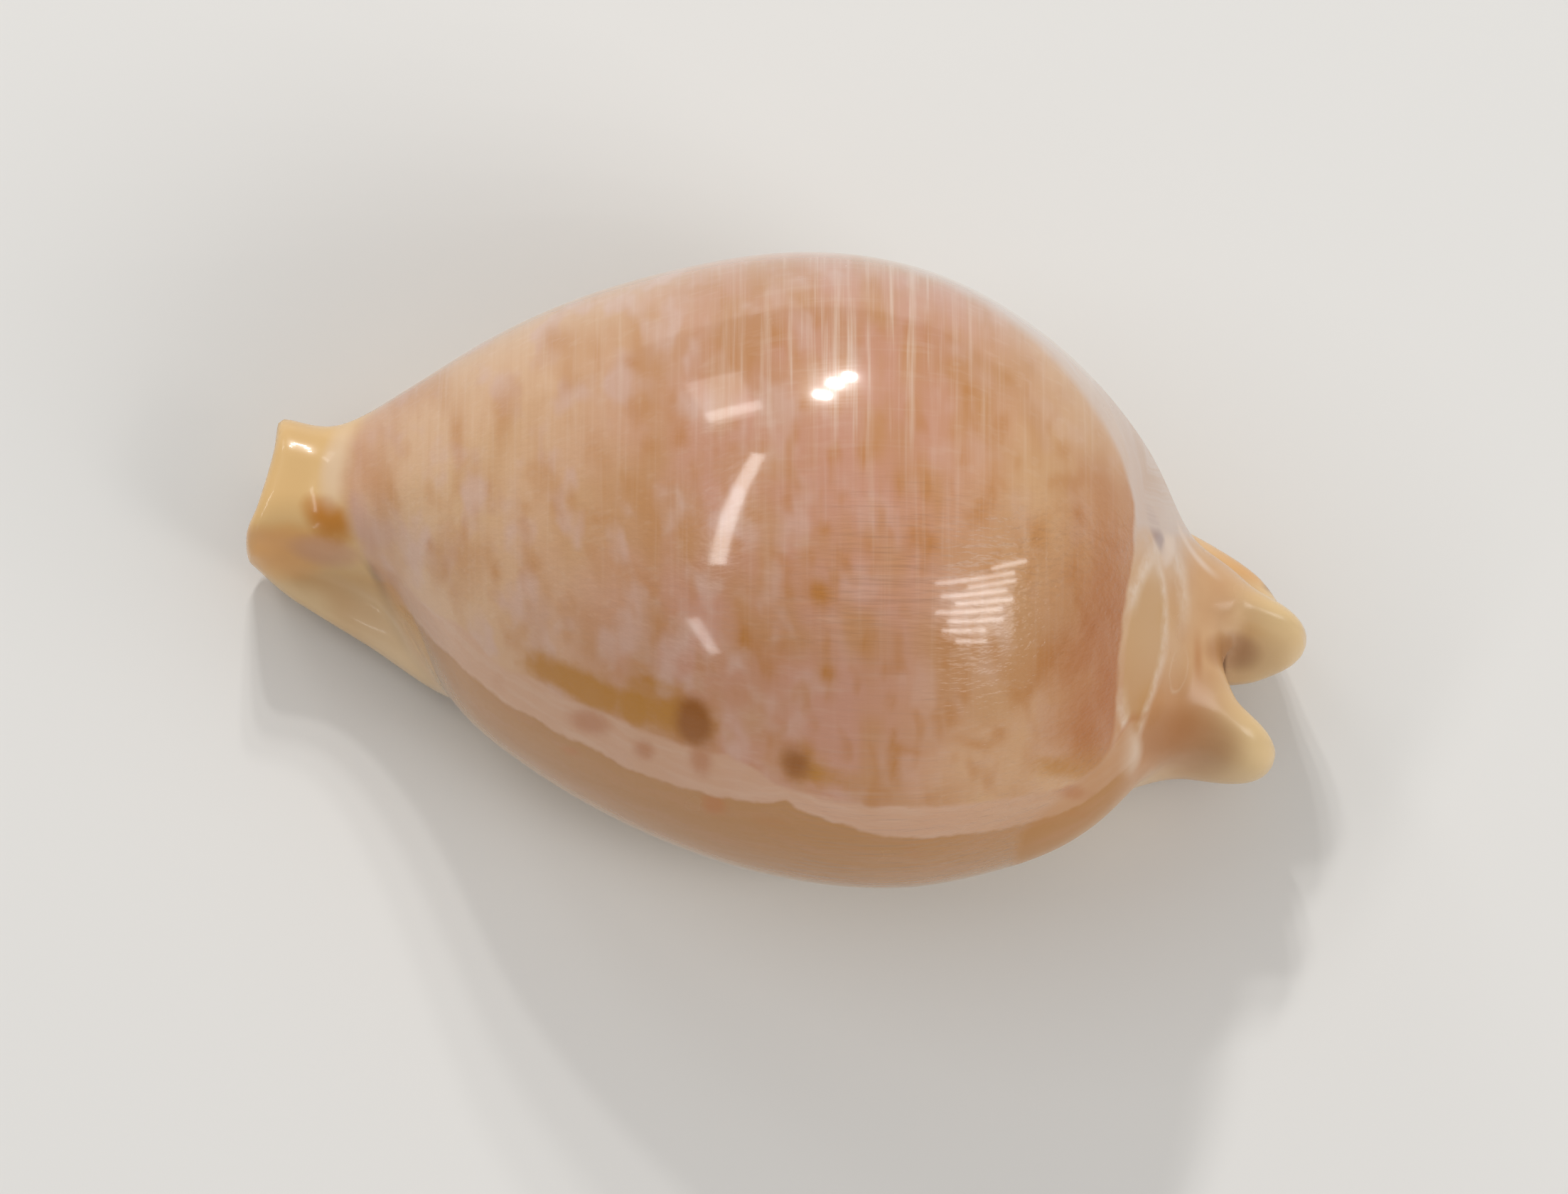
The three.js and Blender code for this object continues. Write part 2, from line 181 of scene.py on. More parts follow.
@dataclass(frozen=True)
class Body:
    """The swollen body without its ends: half-widths and heights from its front (-1) to its back (1)."""

    front: float = -32.5
    back: float = 27.6
    upper_roundness: float = 2.0
    lower_roundness: float = 2.35
    labral_half: Curve = Curve((
        (-1, 12.5), (-0.92, 13.2), (-0.78, 14.4), (-0.65, 16.1), (-0.5, 17.5), (-0.3, 18.8),
        (0, 20.65), (0.28, 21.6), (0.55, 21.75), (0.75, 21.95), (0.88, 22.6), (1, 23),
    ))
    columellar_half: Curve = Curve((
        (-1, 7), (-0.92, 7.2), (-0.784, 8), (-0.717, 9.8), (-0.65, 12.2), (-0.584, 14.4),
        (-0.517, 15.8), (-0.42, 16.9), (-0.25, 18.3), (0, 19.9), (0.28, 21.4), (0.48, 22.3),
        (0.68, 22.9), (0.88, 24.4), (1, 25),
    ))
    crown_height: Curve = Curve((
        (-1, 6), (-0.92, 8), (-0.784, 11.2), (-0.65, 13.7), (-0.5, 15.7), (-0.3, 18),
        (-0.05, 20.3), (0.15, 21.8), (0.35, 23), (0.55, 24), (0.7, 24.2), (0.85, 23.6), (1, 21),
    ))
    belly_depth: Curve = Curve((
        (-1, 9), (-0.75, 10.5), (-0.5, 11.1), (-0.25, 11.9), (0, 12.6), (0.25, 13.3),
        (0.5, 14.1), (0.75, 15.4), (1, 16.5),
    ))
    widest_z: Curve = Curve((
        (-32, 6.5), (-20, 9.5), (-10, 11.3), (0, 12.2), (10, 12.2), (20, 10.8), (28, 8.5),
    ))

    def __call__(self, x: Array, y: Array, z: Array) -> Array:
        """Gives the signed distance of points in millimetres, about exact near the surface.

        Args:
            x: Places along the shell, in millimetres.
            y: Places across it.
            z: Heights above the base plane.

        Returns:
            Signed distances in millimetres, negative inside.
        """
        half = (self.back - self.front) / 2
        along = (x - (self.back + self.front) / 2) / half
        place = np.clip(along, -1, 1)
        width = np.where(y > 0, self.labral_half(place), self.columellar_half(place))
        rise = z - self.widest_z(x)
        height = np.where(rise > 0, self.crown_height(place), self.belly_depth(place))
        n = np.where(rise > 0, self.upper_roundness, self.lower_roundness)
        across = np.abs(y) / width + 1e-9
        up = np.abs(rise) / height + 1e-9
        girth = (across**n + up**n) ** (1 / n)
        size = np.hypot(along, girth) + 1e-9
        slope_y = girth * girth ** (1 - n) * across ** (n - 1) / width
        slope_z = girth * girth ** (1 - n) * up ** (n - 1) / height
        steep = np.sqrt((along / half) ** 2 + slope_y**2 + slope_z**2) / size
        return (size - 1) / (steep + 1e-9)


@dataclass(frozen=True)
class Ends:
    """What stands out of the body at both ends: flanges of the base, spout, neck and the two tips.

    The blends, here and in the other forms, are the radii of rounded joins in millimetres.
    """

    base_columellar: Curve = Curve((
        (-34.5, -2), (-33.6, -3.7), (-32, -5.1), (-30, -6), (-26, -7.5), (-20, -9.9), (-12, -10),
        (12, -9.2), (20, -9), (25, -7.1), (28, -5.4), (31, -4.9), (33.5, -3.9),
    ))
    base_labral: Curve = Curve((
        (-34.5, 3.4), (-33, 5.1), (-30, 7.2), (-26, 8.8), (-20, 10.6), (-12, 10.5), (0, 10),
        (12, 10.3), (20, 11.5), (25, 11.2), (28, 10.3), (31, 8.8), (33.5, 6.4),
    ))
    base_underside: Curve = Curve((
        (-34, 1.6), (-25, 0.9), (-12, 1.2), (0, 1.5), (12, 1.3), (24, 1), (33, 1.8),
    ))
    base_top: Curve = Curve((
        (-34, 5.2), (-30, 4.4), (-25, 4.4), (-12, 5), (24, 5), (30, 5), (33, 5.6),
    ))
    base_edge_radius: float = 1.7
    base_back: float = 33.0
    spout_half: Curve = Curve(((-34.6, 5.1), (-33.4, 4.85), (-31.5, 4.6), (-29.5, 4.5), (-26, 4.3)))
    spout_top: Curve = Curve(((-34.6, 9.7), (-33.4, 9.75), (-31.5, 9.9), (-29.5, 10.1), (-26, 10.2)))
    spout_bottom: float = 1.5
    spout_y: float = 0.6
    spout_radius: float = 3.6
    spout_back: float = -20.0
    rim_line: Curve = Curve((
        (-7, -34.4), (-3.7, -35.15), (-1.5, -34.8), (1.4, -34.5), (3, -34.5), (4.6, -34.8),
    ))
    neck: Lump = Lump((25.6, 0.6, 7.4), (5.4, 6.6, 6.1), 3, 0, -4)
    labral_tip: Lump = Lump((29.4, 3.25, 7.7), (6.1, 2.5, 5.2), 2.5, -6, -5)
    columellar_tip: Lump = Lump((29.4, -3.15, 7.4), (5.3, 2.4, 4.7), 2.3, -24, -6)
    bridge: Lump = Lump((29, -0.3, 7.4), (4.6, 3.2, 4.6), 2.7, -10, -5)
    blend_base_end: float = 2.6
    blend_spout_end: float = 1.4
    blend_bridge: float = 1.0
    blend_tips: float = 2.4

    def rim(self, x: Array, y: Array, z: Array) -> Array:
        """The cut at the front of spout and base, square to the leaning view."""
        return self.rim_line(view_height(y, z)) - x

    def base(self, x: Array, y: Array, z: Array) -> Array:
        """The callus under the body, drawn out into flanges at both ends.

        Args:
            x: Places along the shell, in millimetres.
            y: Places across it.
            z: Heights above the base plane.

        Returns:
            Signed distances in millimetres, negative inside.
        """
        low, high = self.base_columellar(x), self.base_labral(x)
        under, top = self.base_underside(x), self.base_top(x)
        slab = rounded_rectangle(
            y - (low + high) / 2, z - (under + top) / 2,
            (high - low) / 2, (top - under) / 2, self.base_edge_radius,
        )
        return meet(slab, x - self.base_back, self.blend_base_end)

    def spout(self, x: Array, y: Array, z: Array) -> Array:
        """The squared-off tube at the front.

        Args:
            x: Places along the shell, in millimetres.
            y: Places across it.
            z: Heights above the base plane.

        Returns:
            Signed distances in millimetres, negative inside.
        """
        top = self.spout_top(x)
        tube = rounded_rectangle(
            y - self.spout_y, z - (top + self.spout_bottom) / 2,
            self.spout_half(x), (top - self.spout_bottom) / 2, self.spout_radius,
        )
        return meet(tube, x - self.spout_back, self.blend_spout_end)

    def tips(self, x: Array, y: Array, z: Array) -> Array:
        """The neck behind the body and the two tips that grow from it.

        Args:
            x: Places along the shell, in millimetres.
            y: Places across it.
            z: Heights above the base plane.

        Returns:
            Signed distances in millimetres, negative inside.
        """
        pair = join(self.labral_tip(x, y, z), self.bridge(x, y, z), self.blend_bridge)
        pair = join(pair, self.columellar_tip(x, y, z), self.blend_bridge)
        return join(self.neck(x, y, z), pair, self.blend_tips)


@dataclass(frozen=True)
class Mouth:
    """The long narrow mouth under the shell, its teeth, and the open canal between the tips."""

    middle: Curve = Curve((
        (-35, 0.4), (-28, 0.6), (-20, 1.4), (-10, 2.2), (0, 2.6), (10, 2.6), (18, 2.1),
        (24, 1.2), (29, 0.3), (33, -1),
    ))
    width: Curve = Curve(((-35, 3.9), (-28, 3.7), (-20, 3.7), (-10, 3.4), (0, 3.1), (10, 3), (29, 3)))
    ceiling: float = 7.8
    back: float = 30.0
    labral_pitch: float = 2.15
    columellar_pitch: float = 2.05
    columellar_phase: float = 0.3
    labral_reach: float = 2.6
    columellar_reach: float = 2.1
    groove_height: float = 3.2
    groove_depth: float = 0.55
    groove_start: float = 0.5
    teeth_front: float = -29.0
    teeth_back: float = 26.0
    teeth_ramp: float = 3.0
    canal_labral: Curve = Curve(((28, -0.4), (29.6, 0.5), (30.4, 1.35), (31.5, 1.6), (35, 1.8)))
    canal_columellar: Curve = Curve((
        (28, 0.3), (29.4, -0.4), (30, -1.1), (30.6, -1.85), (31.3, -2.55), (32.5, -3.15), (34, -3.65),
    ))
    canal_start: float = 29.75
    canal_lean: float = 0.16
    canal_lean_from: float = 6.5
    canal_labral_slope: float = 0.85
    canal_columellar_slope: float = 0.75
    canal_fillets: tuple[float, float] = (2.2, 4.6)
    canal_fillet_half: float = 2.0
    blend_ceiling: float = 1.2
    blend_back: float = 1.0
    blend_canal: float = 1.5

    def slit(self, x: Array, y: Array, z: Array) -> Array:
        """The mouth itself, from the spout's open front to the canal."""
        side = np.abs(y - self.middle(x)) - self.width(x) / 2
        return meet(meet(side, z - self.ceiling, self.blend_ceiling), x - self.back, self.blend_back)

    def canal(self, x: Array, y: Array, z: Array) -> Array:
        """The canal, which goes right through from top to base.

        Args:
            x: Places along the shell, in millimetres.
            y: Places across it.
            z: Heights above the base plane.

        Returns:
            Signed distances in millimetres, negative inside.
        """
        lean = self.canal_lean * (z - self.canal_lean_from)
        labral = (y - self.canal_labral(x) - lean) * self.canal_labral_slope
        columellar = (self.canal_columellar(x) - y) * self.canal_columellar_slope
        return meet(np.maximum(labral, columellar), self.canal_start - x, self.blend_canal)

    def canal_fillet(self, y: Array) -> Array:
        """How round the canal's edges are, from its columellar to its labral side.

        Args:
            y: Places across the shell, in millimetres.

        Returns:
            The edges' radii there.
        """
        columellar, labral = self.canal_fillets
        share = np.clip((y / self.canal_fillet_half + 1) / 2, 0, 1)
        return columellar + (labral - columellar) * share

    def grooves(self, x: Array, y: Array, z: Array) -> Array:
        """Depth of the grooves between the teeth at each point, in millimetres.

        Args:
            x: Places along the shell, in millimetres.
            y: Places across it.
            z: Heights above the base plane.

        Returns:
            How deep the grooves are there.
        """
        offset = y - self.middle(x)
        beyond = np.maximum(np.abs(offset) - self.width(x) / 2, 0)
        labral = offset > 0
        phase = np.where(labral, x / self.labral_pitch, x / self.columellar_pitch + self.columellar_phase)
        reach = np.where(labral, self.labral_reach, self.columellar_reach)
        wave = 0.5 - 0.5 * np.cos(2 * np.pi * phase)
        rise = np.maximum(z - self.groove_start, 0) / self.groove_height
        fade = np.exp(-((beyond / reach) ** 2) - rise**2)
        front = np.clip((x - self.teeth_front) / self.teeth_ramp, 0, 1)
        back = np.clip((self.teeth_back - x) / self.teeth_ramp, 0, 1)
        return self.groove_depth * wave * fade * front * back


@dataclass(frozen=True)
class ShellForm:
    """The whole shell as one signed form in millimetres, negative inside the wall."""

    body: Body = Body()
    ends: Ends = Ends()
    mouth: Mouth = Mouth()
    valley: Lump = Lump((-27.6, -7.6, 7.6), (5.6, 1.9, 3.3), 2, -33, 0)
    wall: float = 1.5
    base_thickness: float = 3.3
    blend_base: float = 3.2
    blend_spout: float = 3.6
    blend_rim: float = 1.7
    blend_neck: float = 5.0
    blend_valley: float = 2.0
    blend_chamber: float = 2.5
    blend_slit: float = 1.0
    blend_lips: float = 1.2
    blend_rest: float = 0.25

    def outside(self, x: Array, y: Array, z: Array) -> Array:
        """The outer surface, before the canal and the mouth are cut.

        Args:
            x: Places along the shell, in millimetres.
            y: Places across it.
            z: Heights above the base plane.

        Returns:
            Signed distances in millimetres, negative inside.
        """
        form = join(self.body(x, y, z), self.ends.base(x, y, z), self.blend_base)
        form = join(form, self.ends.spout(x, y, z), self.blend_spout)
        form = meet(form, self.ends.rim(x, y, z), self.blend_rim)
        form = join(form, self.ends.tips(x, y, z), self.blend_neck)
        return meet(form, -self.valley(x, y, z), self.blend_valley)

    def hollow(self, x: Array, y: Array, z: Array) -> Array:
        """The chamber and the mouth that opens it."""
        chamber = meet(self.body(x, y, z) + self.wall, self.base_thickness - z, self.blend_chamber)
        return join(chamber, self.mouth.slit(x, y, z), self.blend_slit)

    def __call__(self, points: Array) -> Array:
        """Gives the signed distance of points.

        Args:
            points: Rows of x, y, z in millimetres.

        Returns:
            One distance a row, negative inside the shell's wall.
        """
        x, y, z = points.T
        form = meet(self.outside(x, y, z), -self.mouth.canal(x, y, z), self.mouth.canal_fillet(y))
        form = meet(form, -self.hollow(x, y, z), self.blend_lips) + self.mouth.grooves(x, y, z)
        return meet(form, -z, self.blend_rest)

    def slope(self, points: Array, step: float = 0.03) -> Array:
        """Gives the form's gradient at points, by central differences over a small step.

        Args:
            points: Rows of x, y, z in millimetres.
            step: How far apart the two readings lie.

        Returns:
            One gradient a row.
        """
        slopes = np.empty_like(points)
        for axis in range(3):
            shift = np.zeros(3)
            shift[axis] = step
            slopes[:, axis] = (self(points + shift) - self(points - shift)) / (2 * step)
        return slopes


@dataclass
class ShellSkin:
    """The fine mesh of the shell, settled on its form."""

    form: ShellForm = field(default_factory=ShellForm)
    voxel: float = 0.43
    inset: float = 0.03
    rounds: int = 7
    last_rounds: int = 2
    relax: float = 0.5
    longest_step: float = 0.4
    least_slope: float = 0.3
    name: str = "shell_skin"

    def build(self, solid: bpy.types.Object) -> bpy.types.Object:
        """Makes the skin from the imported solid.

        Args:
            solid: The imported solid's object, which is left as it is.

        Returns:
            The new object, at the origin, with its place in its mesh.
        """
        mesh = self._remeshed(solid)
        points = self._read(mesh)
        points, normals = self._settled(points, mesh)
        self._write(mesh, points, normals)
        self._mark(mesh, points, normals)
        skin = bpy.data.objects.new(self.name, mesh)
        bpy.context.scene.collection.objects.link(skin)
        LOG.info("%s has %d faces", self.name, len(mesh.polygons))
        return skin

    def _remeshed(self, solid: bpy.types.Object) -> bpy.types.Mesh:
        """Merges a copy of the solid's loose triangles and remeshes it in even squares.

        Args:
            solid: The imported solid's object.

        Returns:
            The new mesh, in metres.
        """
        whole = bpy.data.meshes.new(self.name + "_rough")
        work = bmesh.new()
        work.from_mesh(solid.data)
        bmesh.ops.remove_doubles(work, verts=work.verts, dist=0.001 * MM)
        work.to_mesh(whole)
        work.free()
        rough = bpy.data.objects.new(whole.name, whole)
        bpy.context.scene.collection.objects.link(rough)
        remesh = rough.modifiers.new("even", "REMESH")
        remesh.mode = "VOXEL"
        remesh.voxel_size = self.voxel * MM
        graph = bpy.context.evaluated_depsgraph_get()
        mesh = bpy.data.meshes.new_from_object(rough.evaluated_get(graph))
        mesh.name = self.name
        bpy.data.objects.remove(rough)
        return mesh

    def _read(self, mesh: bpy.types.Mesh) -> Array:
        """Reads a mesh's vertices in millimetres, in the coordinates of the profiles.

        Args:
            mesh: The mesh to read.

        Returns:
            Rows of x, y, z.
        """
        points = np.empty(len(mesh.vertices) * 3, np.float32)
        mesh.vertices.foreach_get("co", points)
        points = points.reshape(-1, 3).astype(float) / MM
        points[:, :2] += MIDDLE
        return points

    def _settled(self, points: Array, mesh: bpy.types.Mesh) -> tuple[Array, Array]:
        """Slides the vertices to even spacing and on to the form, round by round.

        Args:
            points: Rows of x, y, z in millimetres.
            mesh: The mesh whose edges join them.

        Returns:
            The settled points and the form's unit normals there.
        """
        pairs = np.empty(len(mesh.edges) * 2, np.int32)
        mesh.edges.foreach_get("vertices", pairs)
        pairs = pairs.reshape(-1, 2)
        ends = np.concatenate([pairs[:, 0], pairs[:, 1]])
        others = np.concatenate([pairs[:, 1], pairs[:, 0]])
        degree = np.bincount(ends, minlength=len(points))[:, None]
        for turn in range(self.rounds):
            slope = self.form.slope(points)
            steep = np.linalg.norm(slope, axis=1, keepdims=True) + 1e-9
            normals = slope / steep
            depth = (self.form(points) + self.inset)[:, None]
            step = depth / np.maximum(steep, self.least_slope)
            points = points - normals * np.clip(step, -self.longest_step, self.longest_step)
            if turn < self.rounds - self.last_rounds:
                sums = [np.bincount(ends, points[others, axis], len(points)) for axis in range(3)]
                pull = np.stack(sums, axis=1) / degree - points
                pull -= normals * np.sum(pull * normals, axis=1, keepdims=True)
                points = points + pull * self.relax
        slope = self.form.slope(points)
        normals = slope / (np.linalg.norm(slope, axis=1, keepdims=True) + 1e-9)
        return points, normals

    def _write(self, mesh: bpy.types.Mesh, points: Array, normals: Array) -> None:
        """Puts settled vertices and their smooth normals into the mesh, in metres.

        Args:
            mesh: The mesh to change.
            points: Rows of x, y, z in millimetres.
            normals: One unit normal a row.
        """
        placed = points.copy()
        placed[:, :2] -= MIDDLE
        mesh.vertices.foreach_set("co", (placed * MM).astype(np.float32).ravel())
        mesh.polygons.foreach_set("use_smooth", [True] * len(mesh.polygons))
        mesh.update()
        mesh.normals_split_custom_set_from_vertices(normals.tolist())

    def _mark(self, mesh: bpy.types.Mesh, points: Array, normals: Array) -> None:
        """Stores where each vertex lies against the shell's colour lines and markings.

        Args:
            mesh: The mesh that gets the attributes.
            points: Rows of x, y, z in millimetres.
            normals: One unit normal a row.
        """
        for name, values in ColourLines().beyond(points, normals, self.form).items():
            layer = mesh.attributes.new(name, "FLOAT", "POINT")
            layer.data.foreach_set("value", values.astype(np.float32))


@dataclass(frozen=True)
class Spot:
    """A soft spot of the back in the leaning view: its place, half-sizes and strength."""

    x: float
    height: float
    half_x: float
    half_height: float
    strength: float = 1.0

    def __call__(self, x: Array, height: Array) -> Array:
        """Gives the spot's share at points, leaning as the growth lines do.

        Args:
            x: Places along the shell, in millimetres.
            height: Heights in the leaning view.

        Returns:
            The spot's share, up to its strength.
        """
        up = height - self.height
        across = (x - self.x + GROWTH_LEAN * up) / self.half_x
        return self.strength * np.exp(-(across**2 + (up / self.half_height) ** 2) * SPOT_FALL)


class Marking(Enum):
    """The back's spotted markings, with the spots that each has."""

    FLECKS = (
        Spot(-1.5, -4.0, 0.5, 0.9, 0.9), Spot(0.4, -5.6, 0.7, 1.1, 0.6), Spot(1.1, -4.0, 0.4, 1.0, 0.4),
        Spot(4.2, -5.2, 0.6, 0.7, 0.9), Spot(4.6, -6.7, 0.4, 0.6, 0.4), Spot(6.2, -2.6, 0.4, 1.2, 0.5),
        Spot(9.6, -10.4, 0.5, 1.2, 0.8), Spot(9.2, -8.4, 0.3, 0.7, 0.5), Spot(10.5, -9.1, 1.0, 0.3, 0.5),
        Spot(8.6, -6.1, 0.3, 0.7, 0.5), Spot(12.6, -6.3, 0.6, 1.0, 0.6), Spot(14.5, -7.9, 1.2, 0.4, 0.6),
        Spot(15.9, -6.9, 0.6, 0.6, 0.6), Spot(16.3, -4.3, 0.4, 1.0, 0.5), Spot(13.0, -3.4, 0.3, 1.1, 0.4),
        Spot(19.3, -1.7, 1.5, 1.7, 0.5), Spot(-6.8, -4.0, 1.5, 1.2, 0.6), Spot(-11.7, -4.7, 1.5, 1.0, 0.5),
        Spot(-7.3, -7.7, 0.3, 0.6, 0.6), Spot(-16.7, -7.0, 0.3, 0.7, 0.6), Spot(2.7, -0.2, 0.8, 0.9, 1.0),
        Spot(-0.7, 1.7, 0.4, 0.4, 0.5), Spot(1.7, 2.0, 0.3, 0.6, 0.5), Spot(2.3, 3.9, 0.5, 0.5, 0.6),
        Spot(3.9, 2.4, 0.4, 0.7, 0.5), Spot(5.3, 3.6, 0.6, 1.0, 0.5), Spot(7.8, 4.4, 0.6, 1.3, 0.5),
        Spot(9.2, 4.3, 0.4, 1.0, 0.5), Spot(10.1, 10.1, 0.4, 0.9, 0.5), Spot(6.5, 7.6, 0.4, 1.2, 0.5),
        Spot(12.4, 8.4, 0.4, 1.3, 0.6), Spot(12.0, 6.7, 0.6, 1.0, 0.5), Spot(16.1, 6.3, 0.6, 1.5, 0.6),
        Spot(16.6, 12.0, 0.6, 0.7, 0.5), Spot(18.2, 8.2, 0.4, 0.7, 0.5), Spot(-4.5, 8.0, 0.7, 0.6, 0.5),
        Spot(-8.1, 7.9, 0.7, 0.8, 0.7), Spot(-10.0, 7.1, 0.7, 0.7, 0.6), Spot(-9.0, 10.3, 0.4, 0.9, 0.5),
        Spot(-20.8, -0.6, 0.3, 0.9, 0.8), Spot(-22.9, -2.0, 0.3, 0.5, 0.8), Spot(-18.3, -2.8, 0.4, 0.8, 0.8),
        Spot(-15.9, -2.0, 0.6, 0.9, 0.7), Spot(-14.3, 2.7, 0.4, 0.8, 0.6), Spot(-12.1, 1.9, 1.2, 0.5, 0.6),
        Spot(-17.1, 1.6, 0.4, 0.4, 0.6), Spot(-19.7, 2.3, 0.4, 0.7, 0.6), Spot(-22.4, 5.0, 0.5, 1.4, 0.6),
        Spot(-20.2, 7.7, 0.6, 1.4, 0.6), Spot(-17.4, 12.8, 0.9, 0.8, 0.7), Spot(-12.2, 12.2, 0.6, 0.4, 0.6),
        Spot(-7.0, 17.3, 0.4, 1.0, 0.6), Spot(-0.7, 11.6, 0.4, 0.4, 0.6), Spot(-21.6, -3.4, 0.3, 1.0, 0.6),
    )
    EYES = (
        Spot(-3.6, -10.3, 1.2, 1.2, 1.2), Spot(-3.9, -9.0, 0.9, 0.8, 0.6), Spot(3.3, -11.4, 1.0, 1.1, 1.0),
    )
    GOLD = (
        Spot(-12.9, -8.7, 1.9, 0.8, 1.1), Spot(-10.4, -9.4, 1.6, 0.9, 1.1), Spot(-7.7, -9.7, 0.6, 1.2, 0.8),
        Spot(-6.8, -8.0, 1.5, 0.4, 0.5), Spot(5.6, -11.8, 2.1, 0.7, 0.6), Spot(22.0, -6.7, 1.3, 1.7, 0.9),
        Spot(20.2, -8.4, 1.6, 0.7, 0.8), Spot(-3.6, -10.0, 2.1, 1.9, 0.6), Spot(3.4, -11.2, 1.8, 1.6, 0.5),
        Spot(-7.5, -10.0, 2.8, 0.9, 0.5), Spot(-5.4, -9.4, 1.8, 1.2, 0.4), Spot(-14.6, -7.8, 1.0, 0.7, 0.5),
    )
    GHOSTS = (
        Spot(-10.4, -11.3, 1.4, 0.8, 1.0), Spot(-6.5, -12.4, 0.8, 0.7, 0.9),
        Spot(-2.8, -12.3, 0.8, 1.1, 0.9), Spot(21.4, -9.8, 1.3, 0.6, 0.8),
        Spot(-16.7, -10.0, 0.7, 1.0, 0.4),
    )
    STAINS = (
        Spot(-1.4, -15.0, 0.8, 0.7, 1.0), Spot(-11.2, -13.4, 0.8, 0.4, 0.6),
        Spot(22.3, -11.2, 1.6, 0.4, 0.4), Spot(12.0, -15.7, 1.2, 0.6, 0.4),
        Spot(2.4, -15.4, 1.8, 0.6, 0.4),
    )

    def share(self, x: Array, height: Array) -> Array:
        """Sums the marking's spots at points."""
        return sum(spot(x, height) for spot in self.value)


@dataclass(frozen=True)
class ColourLines:
    """The lines that part the shell's colours, drawn in the leaning view, in millimetres."""

    front_edge: Curve = Curve((
        (-12, -20.2), (-10, -22.2), (-8, -24), (-5, -25.8), (-3.4, -27.2), (-1.7, -28.3), (0.5, -29.2),
        (3.5, -29.4), (4.8, -29.1), (8, -27.5),
    ))
    back_edge: Curve = Curve((
        (-13, 18.5), (-10.5, 20.4), (-8.6, 22), (-6.8, 23.1), (-4.8, 23.2), (-1.9, 22.8), (0.8, 22.5),
        (5, 22.3), (9, 21.9), (11, 21.3), (13.9, 20.1), (16.8, 17.9),
    ))
    band_upper: Curve = Curve((
        (-24, -4.9), (-21.6, -6.3), (-19.8, -6.8), (-16.9, -8.8), (-14, -9.4), (-11.6, -10.2),
        (-8.2, -10.8), (-4.1, -11.5), (-0.5, -11.9), (1.2, -12.3), (2.7, -12.9), (5.5, -13.1), (9, -13.1),
        (12.6, -12.4), (16.2, -11.3), (20.8, -9.5), (22.4, -8.2), (23.5, -6.4), (24.3, -4.5),
    ))
    band_lower: Curve = Curve((
        (-24, -6.2), (-22.1, -7.6), (-19.3, -9.4), (-16.5, -10.9), (-12.7, -12.2), (-9.8, -13),
        (-6.9, -13.9), (-3.2, -14.4), (0, -14.4), (1.9, -14.2), (3.1, -13.9), (4.2, -14.3), (6.8, -14.7),
        (9.3, -14.8), (13, -14.4), (16.6, -13.3), (21.2, -11.2), (23.9, -8.6), (25.2, -7),
    ))
    callus_edge: Curve = Curve((
        (0, 22.6), (4, 21.8), (8, 21), (11.4, 19.7), (14.2, 18.2), (17.2, 15.8), (20.2, 12.5), (21.7, 9.8),
        (22.3, 8),
    ))
    callus_side: Curve = Curve(((-30, 6), (-20, 9), (-10, 12.5), (0, 16), (10, 17), (20, 15), (26, 9)))
    thread_left: Curve = Curve((
        (-7, 25), (-6.1, 24.7), (-5, 24), (-3.7, 23.5), (-2.4, 23.2), (0, 22.9), (3.3, 22.8), (5.5, 23.2),
        (7, 23.7), (8, 24.2),
    ))
    thread_right: Curve = Curve((
        (-7, 24.9), (-5.2, 25), (-3.6, 25.2), (-1.8, 25.5), (0.3, 25.6), (2, 25.4), (3.5, 25.1), (5, 24.6),
        (6, 24.1), (7.4, 24),
    ))
    thread_outer: Curve = Curve((
        (-3, 26.6), (0.5, 26.8), (3.7, 26.4), (4.7, 26.1), (6, 25.7), (7, 25), (8, 24.4),
    ))
    sliver_edge: Curve = Curve((
        (24, 12), (24.7, 10.2), (25.2, 9.2), (26.7, 7.6), (28.6, 6.5), (31.7, 5.8), (32.9, 5.3), (34, 4.6),
    ))

    nowhere: float = -20.0
    facing_rise: float = 5.0
    side_share: float = 0.4
    near_side_y: float = 3.0
    sliver_y: float = 2.0
    chamber_back: float = 28.0

    def beyond(self, points: Array, normals: Array, form: ShellForm) -> dict[str, Array]:
        """Measures the vertices against the lines and the markings.

        Args:
            points: Rows of x, y, z in millimetres, in the coordinates of the profiles.
            normals: The form's unit normals there.
            form: The shell's form.

        Returns:
            One list for each attribute's name: millimetres beyond a line, or a marking's share.
        """
        x, y, z = points.T
        height = view_height(y, z)
        facing = normals[:, 2] * math.cos(VIEW_TILT) - normals[:, 1] * math.sin(VIEW_TILT)
        shown = np.clip(facing * self.facing_rise, 0, 1)
        near = y < self.near_side_y
        side = (self.callus_side(x) - z) * self.side_share
        labral = np.maximum(height - self.callus_edge(x), side)
        lines = {
            "height": height,
            "front": self.front_edge(height) - x,
            "back": x - self.back_edge(height),
            "band_upper": np.where(near, self.band_upper(x) - height, self.nowhere),
            "band_lower": np.where(near, self.band_lower(x) - height, self.nowhere),
            "labral": np.where(y > self.near_side_y, labral, self.nowhere),
            "thread_left": x - self.thread_left(height),
            "thread_right": x - self.thread_right(height),
            "thread_outer": x - self.thread_outer(height),
            "sliver": np.where(y > self.sliver_y, height - self.sliver_edge(x), self.nowhere),
            "inside": np.where(x < self.chamber_back, -form.outside(x, y, z), self.nowhere),
        }
        spots = {mark.name.lower(): mark.share(x, height) * shown for mark in Marking}
        return lines | spots


Number = Union["Value", float]


